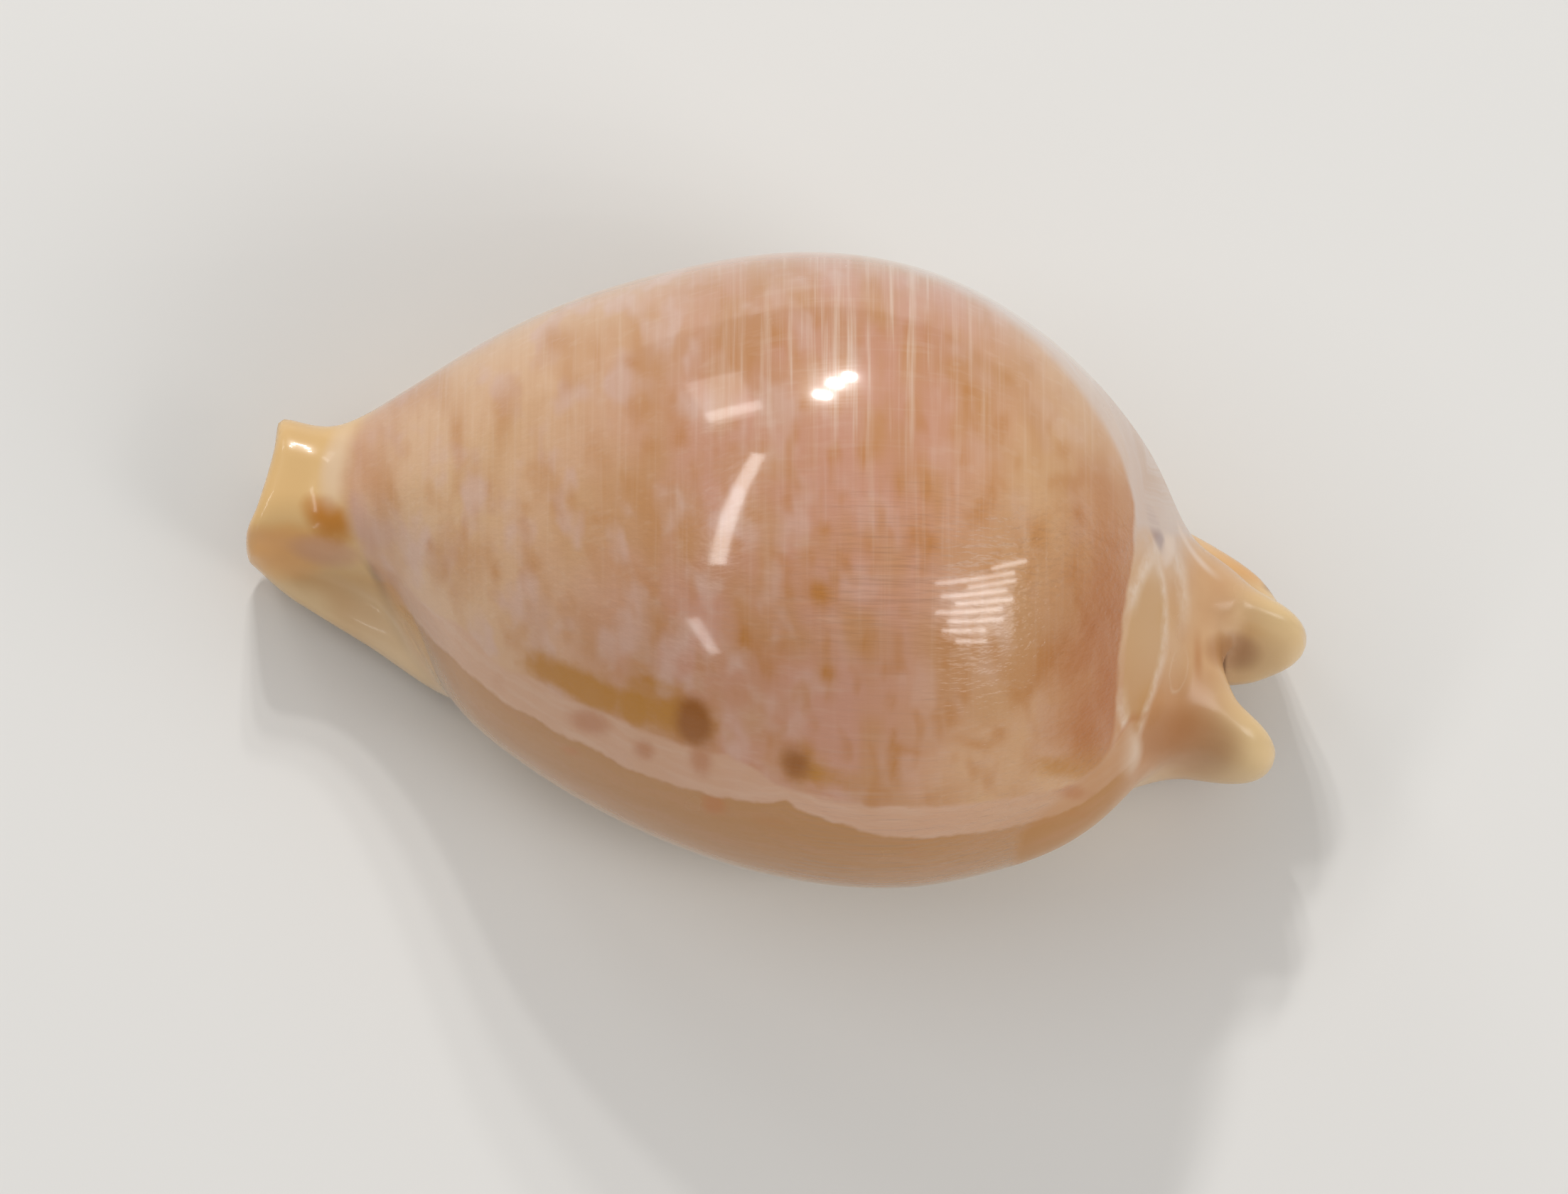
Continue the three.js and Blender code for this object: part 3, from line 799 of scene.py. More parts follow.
class Value:
    """One number that varies over a surface, with Python's operators as shader maths."""

    def __init__(self, paint: "Paint", socket: Socket) -> None:
        """Wraps an output socket of a material's nodes."""
        self.paint = paint
        self.socket = socket

    def __add__(self, other: Number) -> "Value":
        """Adds."""
        return self.paint.maths("ADD", self, other)

    def __radd__(self, other: Number) -> "Value":
        """Adds, from the right."""
        return self.paint.maths("ADD", other, self)

    def __sub__(self, other: Number) -> "Value":
        """Subtracts."""
        return self.paint.maths("SUBTRACT", self, other)

    def __rsub__(self, other: Number) -> "Value":
        """Subtracts this from a number."""
        return self.paint.maths("SUBTRACT", other, self)

    def __mul__(self, other: Number) -> "Value":
        """Multiplies."""
        return self.paint.maths("MULTIPLY", self, other)

    def __rmul__(self, other: Number) -> "Value":
        """Multiplies, from the right."""
        return self.paint.maths("MULTIPLY", other, self)

    def high(self, other: Number) -> "Value":
        """Takes the larger of two."""
        return self.paint.maths("MAXIMUM", self, other)

    def low(self, other: Number) -> "Value":
        """Takes the smaller of two."""
        return self.paint.maths("MINIMUM", self, other)

    def ease(self, start: float, end: float) -> "Value":
        """Rises smoothly from 0 at start to 1 at end, or falls where end is the smaller.

        Args:
            start: Where the result is 0.
            end: Where it is 1.

        Returns:
            The eased number.
        """
        node = self.paint.node(
            "ShaderNodeMapRange", {"interpolation_type": "SMOOTHSTEP"},
            {0: self, 1: min(start, end), 2: max(start, end),
             3: float(start > end), 4: float(start < end)},
        )
        return Value(self.paint, node.outputs[0])

    def hump(self, middle: float, half: float) -> "Value":
        """Is 1 at a middle and falls smoothly to 0 at half its width on either side."""
        return self.paint.maths("ABSOLUTE", self - middle).ease(half, 0.0)


class Paint:
    """A material's nodes, made through a few short calls."""

    def __init__(self, name: str) -> None:
        """Starts a material with one Principled surface."""
        self.material = bpy.data.materials.new(name)
        self.material.use_nodes = True
        self.tree = self.material.node_tree
        self.surface = self.tree.nodes["Principled BSDF"]

    def node(self, kind: str, settings: dict | None = None, inputs: dict | None = None) -> bpy.types.Node:
        """Makes a node.

        Args:
            kind: The node's type name.
            settings: Its own settings, set first.
            inputs: Numbers, colours or links for its sockets, by name or place.

        Returns:
            The node.
        """
        made = self.tree.nodes.new(kind)
        for key, value in (settings or {}).items():
            setattr(made, key, value)
        for key, value in (inputs or {}).items():
            self.feed(made.inputs[key], value)
        return made

    def feed(self, socket: Socket, value: object) -> None:
        """Sets a socket to a number or colour, or links it.

        Args:
            socket: The input socket.
            value: A number, a colour, a socket or a value to link.
        """
        if isinstance(value, Value):
            self.tree.links.new(value.socket, socket)
        elif isinstance(value, Socket):
            self.tree.links.new(value, socket)
        else:
            socket.default_value = value

    def maths(self, operation: str, *values: Number) -> Value:
        """Works out one Math node."""
        node = self.node("ShaderNodeMath", {"operation": operation}, dict(enumerate(values)))
        return Value(self, node.outputs[0])

    def attribute(self, name: str) -> Value:
        """Reads a number stored on the mesh."""
        node = self.node("ShaderNodeAttribute", {"attribute_name": name})
        return Value(self, node.outputs["Fac"])

    def vector(self, x: Number, y: Number, z: Number) -> Socket:
        """Joins three numbers."""
        return self.node("ShaderNodeCombineXYZ", None, {0: x, 1: y, 2: z}).outputs[0]

    def noise(self, vector: Socket, scale: float, detail: float = 2.0, roughness: float = 0.5) -> Value:
        """Smooth noise about 0.5.

        Args:
            vector: Where the noise is read.
            scale: How fine it is.
            detail: How many finer layers it has.
            roughness: How strong those layers are.

        Returns:
            The noise.
        """
        node = self.node(
            "ShaderNodeTexNoise", {"noise_dimensions": "3D"},
            {"Vector": vector, "Scale": scale, "Detail": detail, "Roughness": roughness},
        )
        return Value(self, node.outputs[0])

    def mix(self, under: object, over: object, share: Number) -> Socket:
        """Lays one colour over another."""
        node = self.node("ShaderNodeMix", {"data_type": "RGBA"}, {0: share, 6: under, 7: over})
        return node.outputs[2]


class Coats:
    """Colours laid over one another."""

    def __init__(self, paint: Paint, colour: Colour) -> None:
        """Starts with the undermost colour."""
        self.paint = paint
        self.colour: Colour | Socket = colour

    def lay(self, over: object, share: Number) -> None:
        """Lays one more colour over the rest."""
        self.colour = self.paint.mix(self.colour, over, share)


@dataclass(frozen=True)
class Place:
    """What the enamel's layers read at each point of the shell."""

    x: Value
    y: Value
    z: Value
    height: Value
    drift: Value
    even: Socket
    wobble: Value
    ripple: Value


@dataclass(frozen=True)
class Oval:
    """A soft oval in the leaning view: its middle and half-sizes in millimetres."""

    x: float
    height: float
    half_x: float
    half_height: float

    def share(self, x: Value, height: Value) -> Value:
        """Is 1 at the oval's middle and 0 at its edge.

        Args:
            x: Places along the shell.
            height: Heights in the leaning view.

        Returns:
            The oval's share there.
        """
        across = (x - self.x) * (1 / self.half_x)
        up = (height - self.height) * (1 / self.half_height)
        return (across * across + up * up).ease(1.0, 0.0)


@dataclass(frozen=True)
class Enamel:
    """The glossy enamel with the back's pattern, the calluses, the cream ends and the pale base, with
    painted shade and highlights near both ends.
    """

    pink: Colour = srgb(196, 142, 116)
    tan: Colour = srgb(186, 132, 84)
    straw: Colour = srgb(212, 172, 130)
    honey: Colour = srgb(206, 162, 112)
    lilac: Colour = srgb(206, 168, 150)
    cloud: Colour = srgb(188, 132, 78)
    fleck: Colour = srgb(180, 114, 36)
    pale: Colour = srgb(224, 200, 180)
    rose: Colour = srgb(194, 138, 106)
    amber: Colour = srgb(170, 92, 6)
    eye: Colour = srgb(148, 84, 0)
    gold: Colour = srgb(180, 118, 4)
    ghost: Colour = srgb(178, 112, 66)
    stain: Colour = srgb(184, 106, 34)
    margin: Colour = srgb(180, 126, 68)
    band: Colour = srgb(204, 158, 126)
    callus: Colour = srgb(204, 182, 168)
    # A brown for the line at the callus's front part, also used for painted shade lines in creases by the
    # ends.
    brown_line_and_shade: Colour = srgb(118, 68, 36)
    neck: Colour = srgb(212, 172, 130)
    # A rose tone of the neck, also used for painted shade low on the neck and in its crease.
    neck_rose_and_shade: Colour = srgb(184, 124, 76)
    tip: Colour = srgb(224, 194, 144)
    # The colour of painted shade in the hollow by the columellar tip and in the canal.
    hollow: Colour = srgb(152, 90, 30)
    sliver: Colour = srgb(216, 160, 94)
    spire: Colour = srgb(188, 142, 84)
    spire_pale: Colour = srgb(204, 164, 112)
    thread: Colour = srgb(228, 206, 184)
    violet: Colour = srgb(134, 108, 112)
    spout: Colour = srgb(220, 180, 122)
    # Painted shade: the darker colour of the valley under the spout.
    spout_shade: Colour = srgb(222, 158, 86)
    # The brown of the spout's own spot, also used for painted shade in the crease and on the front of the
    # labral flange.
    spout_brown_and_shade: Colour = srgb(188, 116, 20)
    cream: Colour = srgb(218, 188, 142)
    base: Colour = srgb(228, 200, 162)
    tooth: Colour = srgb(244, 232, 212)
    chamber: Colour = srgb(222, 200, 190)
    # Where painted shade darkens the hollow by the columellar tip and the canal wall of the labral tip.
    columellar_hollow_shade: Oval = Oval(28.4, -5.2, 4.6, 2.8)
    labral_hollow_shade: Oval = Oval(30.3, 1.2, 2.4, 1.6)
    thread_loop: Oval = Oval(26.9, -0.6, 0.7, 1.9)
    thread_foot: Oval = Oval(24.5, -6.6, 1.3, 1.9)
    violet_shade: Oval = Oval(23.9, 8.1, 0.55, 2.0)
    pale_knot: Oval = Oval(24.7, 6.9, 0.6, 1.5)
    spout_shadow: Oval = Oval(-30.4, -4.2, 4.2, 2.4)
    # Painted shade: a rose darkening in the crease under the spout.
    spout_crease_shade: Oval = Oval(-29.7, -3.7, 3.0, 1.3)
    spout_spot: Oval = Oval(-29.9, -1.6, 2.2, 1.9)
    spout_patch: Oval = Oval(-29.9, 1.9, 1.5, 3.6)
    roughness: float = 0.24
    coat: float = 0.85
    coat_roughness: float = 0.08
    coat_least: float = 0.06
    refraction: float = 1.53
    specular: float = 0.2
    line_depth: float = 0.16

    def make(self) -> bpy.types.Material:
        """Makes the material.

        Returns:
            The shell's material, which reads Object coordinates and the skin's attributes.
        """
        paint = Paint("shell_enamel")
        axes = paint.node(
            "ShaderNodeSeparateXYZ", None, {0: paint.node("ShaderNodeTexCoord").outputs["Object"]},
        )
        x, y, z = (Value(paint, socket) * (1 / MM) for socket in axes.outputs)
        height = paint.attribute("height")
        even = paint.vector(x, y, z)
        here = Place(
            x, y, z, height, x + height * GROWTH_LEAN, even,
            (paint.noise(even, 0.35, 2.0) - 0.5) * 2.0, (paint.noise(even, 1.1, 2.0) - 0.5) * 2.0,
        )
        coat = Coats(paint, self.pink)
        self._back(paint, here, coat)
        self._near_side(paint, here, coat)
        self._back_end(paint, here, coat)
        self._far_side(paint, here, coat)
        self._front_end(paint, here, coat)
        self._underside(paint, here, coat)
        paint.feed(paint.surface.inputs["Base Color"], coat.colour)
        self._gloss(paint, here)
        return paint.material

    def _back(self, paint: Paint, here: Place, coat: Coats) -> None:
        """The pinkish back with its clouds, flecks, fine lines and larger markings.

        Args:
            paint: The material's nodes.
            here: What varies over the shell.
            coat: The colours so far, which get more laid over them.
        """
        x, height, drift = here.x, here.height, here.drift
        clouds = paint.noise(paint.vector(drift * 0.16, here.y * 0.12, here.z * 0.12), 1.0, 2.0, 0.5)
        coat.lay(self.tan, clouds.ease(0.42, 0.66) * 0.8)
        coat.lay(self.straw, x.ease(-4.0, -20.0) * 0.8)
        coat.lay(self.honey, x.ease(6.0, 18.0) * (clouds.ease(0.65, 0.35) * 0.4 + 0.5))
        coat.lay(self.straw, (x.hump(15.8, 4.0) * height.hump(10.0, 7.0)) * 0.6)
        patch = paint.noise(paint.vector(drift * 0.36 + 31.0, height * 0.24, here.z * 0.2), 1.0, 2.0)
        coat.lay(self.lilac, patch.ease(0.48, 0.66) * (x.ease(10.0, -8.0) * 0.45 + 0.25))
        tall = paint.noise(paint.vector(drift * 0.40 + 7.0, height * 0.20, 3.0), 1.0, 1.0, 0.4)
        coat.lay(self.cloud, tall.ease(0.44, 0.76) * 0.65)
        small = paint.noise(paint.vector(drift * 0.68, height * 0.36, 9.0), 1.0, 1.0, 0.4)
        right = x.ease(-14.0, 2.0)
        coat.lay(self.fleck, small.ease(0.50, 0.80) * (right * 0.2 + 0.3))
        marks = paint.attribute("flecks") + here.ripple * 0.08
        coat.lay(self.fleck, marks.ease(-0.05, 1.1) * (right * 0.35 + 0.6))
        growth = paint.noise(paint.vector(drift * 2.3, here.y * 0.07, here.z * 0.07), 1.0, 2.0, 0.6)
        fine = height.ease(-9.0, 9.0) * 0.11 + 0.03
        coat.lay(self.pale, growth.ease(0.50, 0.75) * fine)
        coat.lay(self.cloud, growth.ease(0.50, 0.28) * fine)
        coil = (here.y - x * GROWTH_LEAN) * 1.5
        spiral = paint.noise(paint.vector(x * 0.12, coil, here.z * 1.5), 1.0, 2.0, 0.6)
        coat.lay(self.pale, spiral.ease(0.52, 0.74) * 0.08)
        comb = paint.noise(paint.vector(drift * 1.4, height * 0.05, 0.0), 1.0, 3.0, 0.65)
        crest = x.hump(2.0, 14.0) * height.ease(5.0, 15.0) * here.z.ease(12.0, 24.0)
        coat.lay(self.pale, comb.ease(0.48, 0.68) * crest * 0.55)
        coat.lay(self.rose, paint.attribute("front").ease(-4.0, -0.2) * 0.4)
        gold = paint.attribute("gold") + here.ripple * 0.22 + here.wobble * 0.15
        coat.lay(self.gold, gold.ease(0.05, 1.05) * 0.9)
        eyes = paint.attribute("eyes") + here.ripple * 0.12
        coat.lay(self.eye, eyes.ease(0.1, 1.05))

    def _near_side(self, paint: Paint, here: Place, coat: Coats) -> None:
        """The wavy pale band on the near side, with what shows through it, and the tan margin.

        Args:
            paint: The material's nodes.
            here: What varies over the shell.
            coat: The colours so far, which get more laid over them.
        """
        upper = paint.attribute("band_upper") + here.wobble * 0.35 + here.ripple * 0.12
        lower = paint.attribute("band_lower") + here.wobble * 0.35 + here.ripple * 0.15
        streaks = paint.noise(paint.vector(here.x * 0.2, lower * 1.6, 5.0), 1.0, 2.0)
        margin = Coats(paint, self.margin)
        margin.lay(self.rose, streaks.ease(0.45, 0.7) * 0.15)
        stains = paint.attribute("stains") + here.ripple * 0.12
        margin.lay(self.stain, stains.ease(0.15, 0.9) * 0.6)
        veil = Coats(paint, self.band)
        veil.lay(self.pale, streaks.ease(0.4, 0.7) * 0.15)
        veil.lay(self.margin, here.x.ease(12.0, 24.0) * 0.55)
        ghosts = paint.attribute("ghosts") + here.ripple * 0.12
        veil.lay(self.ghost, ghosts.ease(0.15, 0.9) * 0.75)
        coat.lay(veil.colour, upper.ease(-0.15, 0.25) * 0.86)
        coat.lay(margin.colour, lower.ease(-0.12, 0.18))

    def _far_side(self, paint: Paint, here: Place, coat: Coats) -> None:
        """The lilac callus in strands along the far side, the brown line at its front part, and the orange
        sliver by the tips with a painted shade line and a painted highlight line at its edge.

        Args:
            paint: The material's nodes.
            here: What varies over the shell.
            coat: The colours so far, which get more laid over them.
        """
        x = here.x
        labral = paint.attribute("labral") + here.wobble * 0.2
        side = labral.ease(1.2, 3.4).high(labral.ease(-0.3, 0.5) * x.ease(7.0, -3.0))
        coat.lay(self.margin, side * 0.9)
        strands = paint.noise(paint.vector(x * 0.08, labral * 1.7, here.height * 0.08), 1.0, 2.0, 0.6)
        back = x.ease(-4.0, 7.0) * here.z.ease(4.5, 14.0)
        veil = labral.ease(-0.4, 0.5) * (0.72 + strands.ease(0.38, 0.60) * 0.26) * back
        coat.lay(self.callus, veil)
        line = labral.hump(0.0, 0.7) * x.ease(4.0, -4.0)
        coat.lay(self.brown_line_and_shade, line * 0.4)
        sliver = paint.attribute("sliver")
        low = here.z.ease(7.5, 5.0) * here.z.ease(0.8, 3.2)
        coat.lay(self.sliver, sliver.ease(-0.3, 0.6) * x.ease(24.6, 26.0) * low)
        # Painted shade: a dark line where the labral flange passes behind the neck and the tip.
        edge_shade = sliver.hump(0.15, 0.4) * (x.ease(29.4, 27.6) + x.hump(32.2, 0.9)).low(1.0)
        edge_shade = edge_shade * here.z.hump(5.5, 3.5) * x.ease(24.0, 24.8)
        coat.lay(self.brown_line_and_shade, edge_shade * 0.9)
        # Painted highlight: a pale line along the tip's edge beside the dark line.
        light = sliver.hump(-0.75, 0.4) * x.ease(24.8, 25.4) * x.ease(29.0, 27.0)
        coat.lay(self.pale, light * 0.7)

    def _back_end(self, paint: Paint, here: Place, coat: Coats) -> None:
        """The amber edge, the buried spire with its threads, the neck and both tips, with painted shade in
        the hollows and creases by the tips.

        Args:
            paint: The material's nodes.
            here: What varies over the shell.
            coat: The colours so far, which get more laid over them.
        """
        x, height = here.x, here.height
        back = paint.attribute("back") + here.wobble * 0.3
        near = paint.attribute("band_upper")
        depth = (here.wobble * 0.3 + 0.85).low(1.0) * (height.ease(9.0, 0.0) * 0.35 + 0.6)
        amber = back.ease(-7.5, -0.8) * height.ease(-9.5, -5.5) * height.ease(14.0, 8.0)
        coat.lay(self.amber, amber * depth * near.ease(0.3, -0.3))
        beyond = back.ease(-0.12, 0.22) * near.ease(0.5, -1.0).high(x.ease(23.8, 25.8))
        skin = Coats(paint, self.neck)
        skin.lay(self.neck_rose_and_shade, (here.wobble * 0.4 + 0.3).low(1.0).high(0.0) * 0.7)
        # Painted shade: the neck darker towards the columellar tip's base.
        skin.lay(self.neck_rose_and_shade, height.ease(1.5, -3.5) * x.ease(30.5, 27.5) * 0.6)
        skin.lay(self.tip, x.ease(28.6, 33.0) * 0.85)
        # Painted shade: darker brown in the hollow by the columellar tip and on the labral tip's canal wall.
        skin.lay(self.hollow, self.columellar_hollow_shade.share(x, height) * 0.5)
        skin.lay(self.hollow, self.labral_hollow_shade.share(x, height) * 0.6)
        left = paint.attribute("thread_left") + here.ripple * 0.12 + here.wobble * 0.1
        right = paint.attribute("thread_right") + here.ripple * 0.10 + here.wobble * 0.12
        outer = paint.attribute("thread_outer") + here.ripple * 0.15
        faint = (here.ripple * 0.8 + 0.75).low(1.0).high(0.35)
        window = left.ease(0.0, 0.3) * right.ease(0.1, -0.2)
        window = window * height.ease(-7.0, -5.5) * height.ease(7.4, 5.8)
        glaze = Coats(paint, self.spire)
        glaze.lay(self.spire_pale, (here.wobble * 0.6 + 0.4).low(1.0).high(0.0))
        glaze.lay(self.thread, height.ease(4.0, 6.4) * 0.6)
        skin.lay(glaze.colour, window * 0.5)
        skin.lay(self.thread, right.hump(0.0, 0.42) * height.ease(-7.0, -5.0) * faint * 0.55)
        edge = left.hump(0.1, 0.65) * (height.ease(1.8, 4.0) + height.hump(-5.4, 4.0)).low(1.0)
        skin.lay(self.thread, edge * faint * 0.8)
        strand = outer.hump(0.0, 0.7) * height.ease(1.0, 4.5)
        skin.lay(self.thread, strand * faint * 0.6)
        loop = self.thread_loop.share(x + here.ripple * 0.15, height)
        skin.lay(self.thread, loop.hump(0.3, 0.3) * faint * height.ease(1.2, -0.6) * 0.2)
        # Painted shade: a darker line in the crease near the canal's end.
        crease = (x - 28.1 + height * 0.2).hump(0.0, 0.5) * height.hump(0.4, 2.6)
        skin.lay(self.neck_rose_and_shade, crease * 0.6)
        foot = self.thread_foot.share(x, height)
        skin.lay(self.thread, foot * 0.75)
        top = height.ease(4.6, 8.4) * x.ease(27.5, 24.6) * here.z.ease(4.0, 9.0)
        skin.lay(self.callus, top * (0.65 + here.ripple * 0.3).low(1.0))
        coat.lay(skin.colour, beyond)
        leaning = x + (height - 7.6) * 0.55
        shade = self.violet_shade.share(leaning, height)
        coat.lay(self.violet, shade * 0.6)
        knot = self.pale_knot.share(x, height + here.ripple * 0.3)
        coat.lay(self.pale, knot * 0.75)

    def _front_end(self, paint: Paint, here: Place, coat: Coats) -> None:
        """The cream spout and flanges, with the brown spot, and painted shade in the crease and in the
        valley under the spout.

        Args:
            paint: The material's nodes.
            here: What varies over the shell.
            coat: The colours so far, which get more laid over them.
        """
        x, height = here.x, here.height
        plain = paint.attribute("front")
        front = plain + here.wobble * 0.25
        # Partly a brown streak of the shell and partly painted shade, along the crease between the spout and
        # the body.
        crease_streak = front.hump(-0.5, 1.2) * height.ease(-3.2, -5.0)
        coat.lay(self.spout_brown_and_shade, crease_streak * 0.6)
        spout = Coats(paint, self.spout)
        # Painted shade: the spout's lower side darker below its crease, towards the flange.
        spout.lay(self.margin, height.ease(-3.6, -6.0) * x.ease(-33.2, -31.0) * 0.6)
        spout.lay(self.cream, plain.ease(3.0, 5.4) * height.ease(-5.5, -7.0) * 0.8)
        # Painted shade: the valley between the spout's tube and its flange, darker.
        low = self.spout_shadow.share(x - height * 0.5, height + here.wobble * 0.4)
        spout.lay(self.spout_shade, low * 0.85)
        # Painted shade: a rose darkening in the crease under the spout.
        spout.lay(self.rose, self.spout_crease_shade.share(x, height) * 0.75)
        spot = self.spout_spot.share(x + (height + 1.5) * 0.5, height + here.ripple * 0.3)
        spout.lay(self.spout_brown_and_shade, spot * 0.9)
        patch = self.spout_patch.share(x, height)
        spout.lay(self.pale, patch * 0.5)
        # Painted shade, with some of the shell's own brown: the front of the labral flange, darker.
        spout.lay(self.spout_brown_and_shade, here.y.ease(5.4, 6.2) * here.z.ease(6.4, 5.0) * 0.7)
        high = height.ease(-4.5, -2.5)
        coat.lay(spout.colour, (front - high * 0.1).ease(-0.7, 0.7) * high)
        coat.lay(spout.colour, front.ease(-0.15, 0.25) * height.ease(-2.5, -4.5))
        # Painted shade: a dark brown line along the crease between the back and the flange.
        line = front.hump(0.1, 0.75) * height.ease(-3.2, -4.8)
        coat.lay(self.brown_line_and_shade, line * 0.55)

    def _underside(self, paint: Paint, here: Place, coat: Coats) -> None:
        """The pale base, the lips' white teeth and the chamber's inside.

        Args:
            paint: The material's nodes.
            here: What varies over the shell.
            coat: The colours so far, which get more laid over them.
        """
        low = (here.z + here.wobble * 1.2).ease(11.5, 2.0)
        middle = here.x.ease(-31.0, -24.0) * here.x.ease(31.0, 25.0)
        coat.lay(self.base, low * (0.25 + middle * 0.65))
        lip = paint.maths("ABSOLUTE", here.y - 1.6).ease(6.0, 2.6) * here.z.ease(2.4, 0.8)
        coat.lay(self.tooth, lip * 0.8)
        coat.lay(self.chamber, paint.attribute("inside").ease(0.9, 1.3))

    def _gloss(self, paint: Paint, here: Place) -> None:
        """A deep gloss on the back, with fine lines that break its highlights, and duller ends.

        Args:
            paint: The material's nodes.
            here: What varies over the shell.
        """
        surface = paint.surface
        surface.inputs["Coat Roughness"].default_value = self.coat_roughness
        surface.inputs["IOR"].default_value = self.refraction
        surface.inputs["Specular IOR Level"].default_value = self.specular
        back_end = paint.attribute("back").ease(-0.4, 0.6)
        front_end = paint.attribute("front").ease(-0.4, 0.6)
        coil = (here.y - here.x * GROWTH_LEAN) * 2.2
        fine = paint.noise(paint.vector(here.x * 0.16, coil, here.z * 2.2), 1.0, 2.0, 0.55)
        smudge = paint.noise(here.even, 0.22, 2.0, 0.6)
        paint.feed(surface.inputs["Roughness"], self.roughness + (smudge - 0.5) * 0.16)
        coat = self.coat - back_end * 0.80 - front_end * 0.58
        paint.feed(surface.inputs["Coat Weight"], (coat + (smudge - 0.5) * 0.3).high(self.coat_least))
        brushed = here.height.ease(11.0, 6.0) * (here.x.ease(0.0, 7.0) * 0.7 + 0.22) + 0.04
        relief = fine * brushed * (1.0 - back_end) * (1.0 - front_end) * here.z.ease(3.0, 9.0)
        settings = {"Strength": 1.0, "Distance": self.line_depth * MM, "Height": relief}
        bump = paint.node("ShaderNodeBump", None, settings)
        paint.feed(surface.inputs["Normal"], bump.outputs[0])


@dataclass(frozen=True)
class Lamp:
    """A soft lamp: the way to it from the shell, its distance, sizes in metres, and its power."""

    name: str
    way: tuple[float, float, float]
    distance: float
    width: float
    length: float
    power: float
    long_way: tuple[float, float, float] = (0.0, 1.0, 0.0)

    def place(self, target: Vector) -> None:
        """Hangs the lamp, facing a target.

        Args:
            target: The point that it lights, in metres.
        """
        data = bpy.data.lights.new(self.name, "AREA")
        data.shape = "RECTANGLE"
        data.size = self.width
        data.size_y = self.length
        data.energy = self.power
        back = Vector(self.way).normalized()
        up = Vector(self.long_way)
        up = (up - back * up.dot(back)).normalized()
        side = up.cross(back)
        lamp = bpy.data.objects.new(self.name, data)
        turn = Matrix((side, up, back)).transposed()
        lamp.matrix_world = Matrix.Translation(target + back * self.distance) @ turn.to_4x4()
        bpy.context.scene.collection.objects.link(lamp)


@dataclass(frozen=True)
class Blind:
    """A window behind a slatted blind: bright slits across its light, of uneven width and place."""

    way: tuple[float, float, float] = (0.782, -0.312, 0.540)
    up: tuple[float, float, float] = (-0.149, 0.762, 0.429)
    distance: float = 0.62
    glow: float = 34.0
    slit: float = 0.013
    rises: tuple[float, ...] = (0.16, 0.128, 0.1, 0.072, 0.04, 0.008, -0.026, -0.062, -0.1)
    shifts: tuple[float, ...] = (0.15, -0.03, 0.05, -0.04, 0.01, -0.06, -0.03, -0.08, -0.04)
    widths: tuple[float, ...] = (0.2, 0.42, 0.26, 0.34, 0.3, 0.34, 0.28, 0.22, 0.16)

    def lamps(self) -> tuple[Lamp, ...]:
        """Makes one thin lamp for each slit.

        Returns:
            The lamps, from the top slit down.
        """
        back = Vector(self.way).normalized()
        up = Vector(self.up)
        up = (up - back * up.dot(back)).normalized()
        side = up.cross(back)
        made = []
        for number, (rise, shift, width) in enumerate(zip(self.rises, self.shifts, self.widths)):
            way = back * self.distance + up * rise + side * shift
            power = self.glow * width * self.slit
            made.append(Lamp(f"blind_{number}", tuple(way), way.length, width, self.slit, power, self.up))
        return tuple(made)


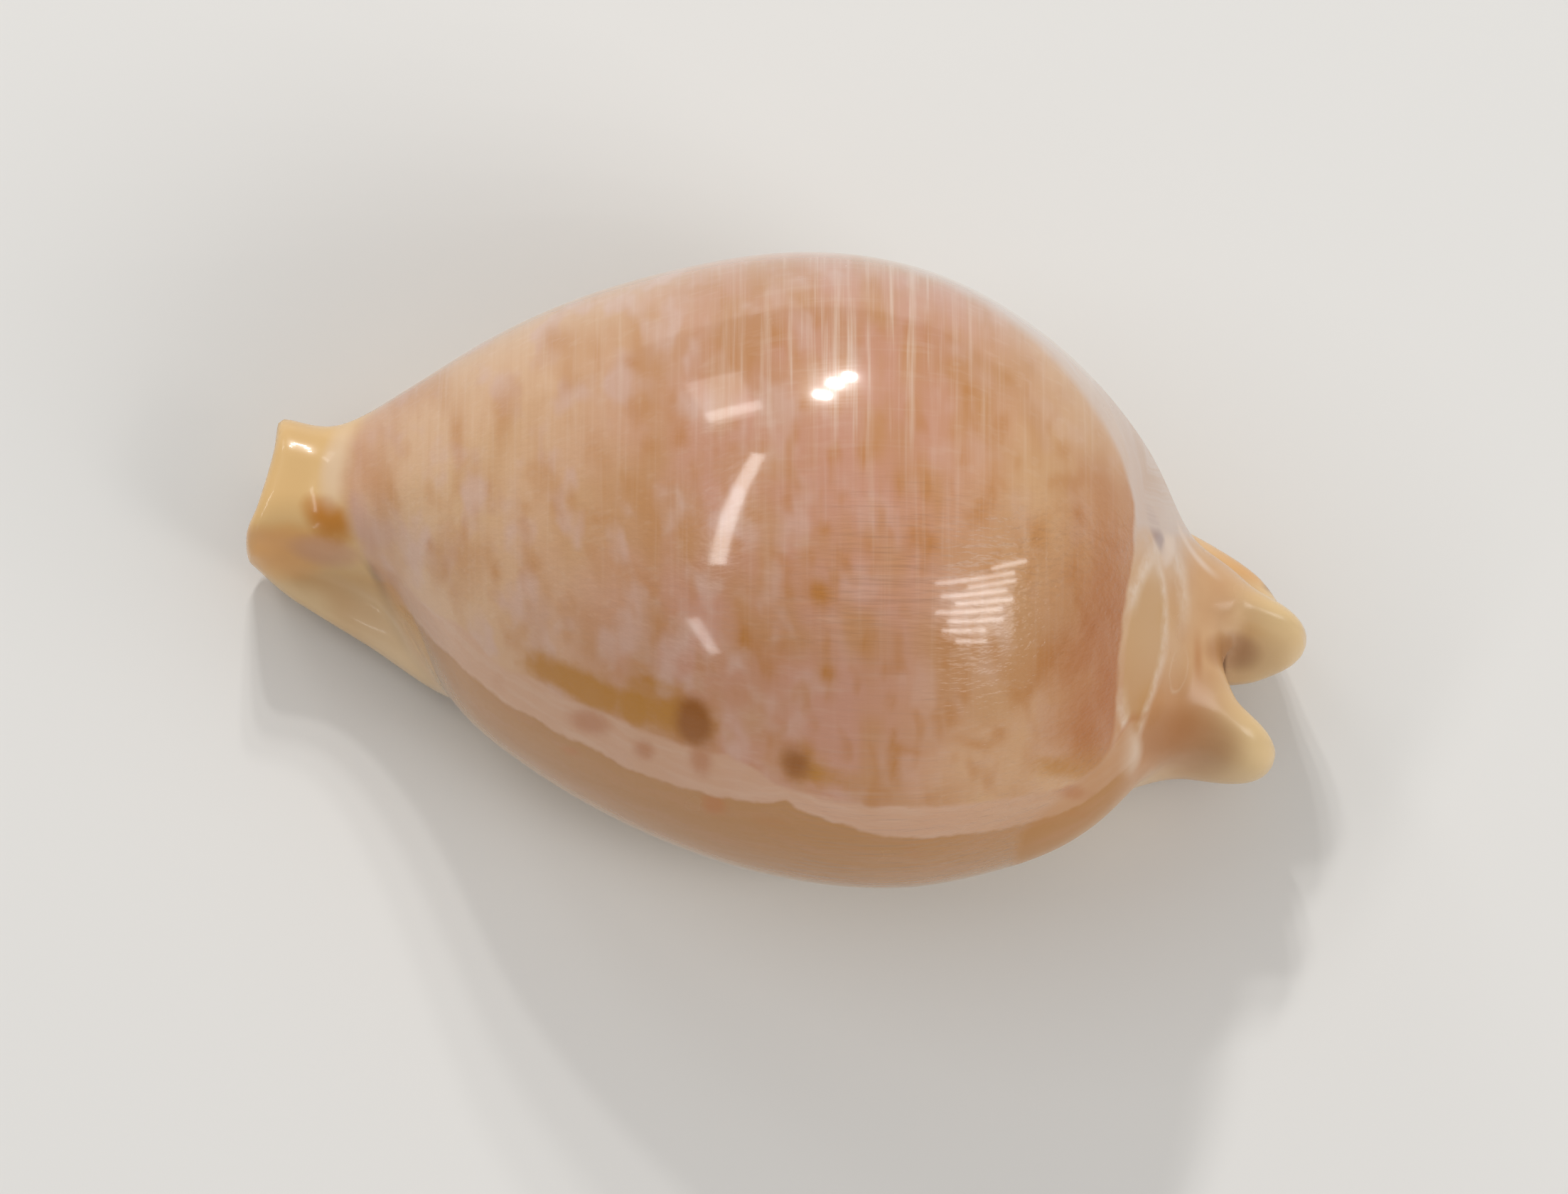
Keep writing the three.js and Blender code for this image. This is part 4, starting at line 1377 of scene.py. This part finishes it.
@dataclass
class Studio:
    """The plain pale floor, the soft lamps and the camera at the photograph's angle."""

    frame_width: float = 103.15
    camera_distance: float = 1.2
    sensor_width: float = 36.0
    aim_x: float = 0.51
    aim_height: float = -0.893
    aim_z: float = 12.0
    floor_size: float = 1.6
    floor_colour: Colour = srgb(222, 220, 216)
    floor_roughness: float = 0.9
    world_light: float = 0.43
    lamp_aim: tuple[float, float, float] = (0.0, 0.0, 0.015)
    lamps: tuple[Lamp, ...] = (
        Lamp("key_left", (-0.317, 0.695, 0.646), 0.62, 0.036, 0.024, 0.56),
        Lamp("key_middle", (-0.262, 0.764, 0.590), 0.62, 0.032, 0.032, 0.56),
        Lamp("key_right", (-0.203, 0.809, 0.551), 0.62, 0.028, 0.028, 0.46),
        Lamp("high_patch", (-0.645, 0.604, 0.468), 0.62, 0.10, 0.20, 0.14, (0.0, -0.27, 0.33)),
        Lamp("patch_edge", (-0.63, 0.55, 0.548), 0.62, 0.12, 0.04, 0.08, (0.0, -0.27, 0.33)),
        Lamp("strip", (-0.655, -0.014, 0.755), 0.62, 0.045, 0.45, 0.6, (0.10, 1.0, 0.14)),
        Lamp("strip_end", (-0.59, -0.69, 0.41), 0.62, 0.03, 0.14, 0.08),
        Lamp("window", (0.782, -0.312, 0.540), 0.62, 0.32, 0.17, 0.35, (-0.149, 0.762, 0.429)),
    )
    blind: Blind = Blind()

    def build(self) -> None:
        """Makes the floor, the lamps, the dim surroundings and the camera."""
        self._floor()
        self._world()
        self._camera()
        for lamp in self.lamps + self.blind.lamps():
            lamp.place(Vector(self.lamp_aim))
            LOG.info("%s hangs", lamp.name)

    def _floor(self) -> None:
        """Lays the floor that the shell rests on."""
        work = bmesh.new()
        bmesh.ops.create_grid(work, x_segments=1, y_segments=1, size=self.floor_size / 2)
        mesh = bpy.data.meshes.new("floor")
        work.to_mesh(mesh)
        work.free()
        floor = bpy.data.objects.new("floor", mesh)
        bpy.context.scene.collection.objects.link(floor)
        paint = Paint("floor_paper")
        paint.surface.inputs["Base Color"].default_value = self.floor_colour
        paint.surface.inputs["Roughness"].default_value = self.floor_roughness
        mesh.materials.append(paint.material)

    def _world(self) -> None:
        """Lights the surroundings dimly and evenly."""
        world = bpy.data.worlds.new("studio_air")
        world.use_nodes = True
        sky = world.node_tree.nodes["Background"]
        sky.inputs["Color"].default_value = (1.0, 1.0, 1.0, 1.0)
        sky.inputs["Strength"].default_value = self.world_light
        bpy.context.scene.world = world
        bpy.context.scene.view_settings.view_transform = "Standard"

    def _camera(self) -> None:
        """Sets up the camera, leaning from straight above and rolled as in the photograph."""
        tilt_cos, tilt_sin = math.cos(VIEW_TILT), math.sin(VIEW_TILT)
        roll_cos, roll_sin = math.cos(VIEW_ROLL), math.sin(VIEW_ROLL)
        right = Vector((roll_cos, roll_sin * tilt_cos, roll_sin * tilt_sin))
        up = Vector((-roll_sin, roll_cos * tilt_cos, roll_cos * tilt_sin))
        back = Vector((0.0, -tilt_sin, tilt_cos))
        aim_y = (self.aim_height - (self.aim_z - VIEW_HEIGHT) * tilt_sin) / tilt_cos
        aim = Vector((self.aim_x - MIDDLE[0], aim_y - MIDDLE[1], self.aim_z)) * MM
        data = bpy.data.cameras.new("camera")
        data.sensor_width = self.sensor_width
        data.lens = data.sensor_width * self.camera_distance / (self.frame_width * MM)
        data.clip_start, data.clip_end = 0.05, 10.0
        camera = bpy.data.objects.new("camera", data)
        turn = Matrix((right, up, back)).transposed()
        camera.matrix_world = Matrix.Translation(aim + back * self.camera_distance) @ turn.to_4x4()
        bpy.context.scene.collection.objects.link(camera)
        bpy.context.scene.camera = camera


def main() -> None:
    """Builds the studio and the shell."""
    logging.basicConfig(level=logging.INFO, format="%(name)s: %(message)s")
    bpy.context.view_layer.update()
    Studio().build()
    skin = ShellSkin().build(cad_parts["shell"])
    skin.data.materials.clear()
    skin.data.materials.append(Enamel().make())
    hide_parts("shell")
    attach(skin, "root")


if __name__ == "__main__":
    main()
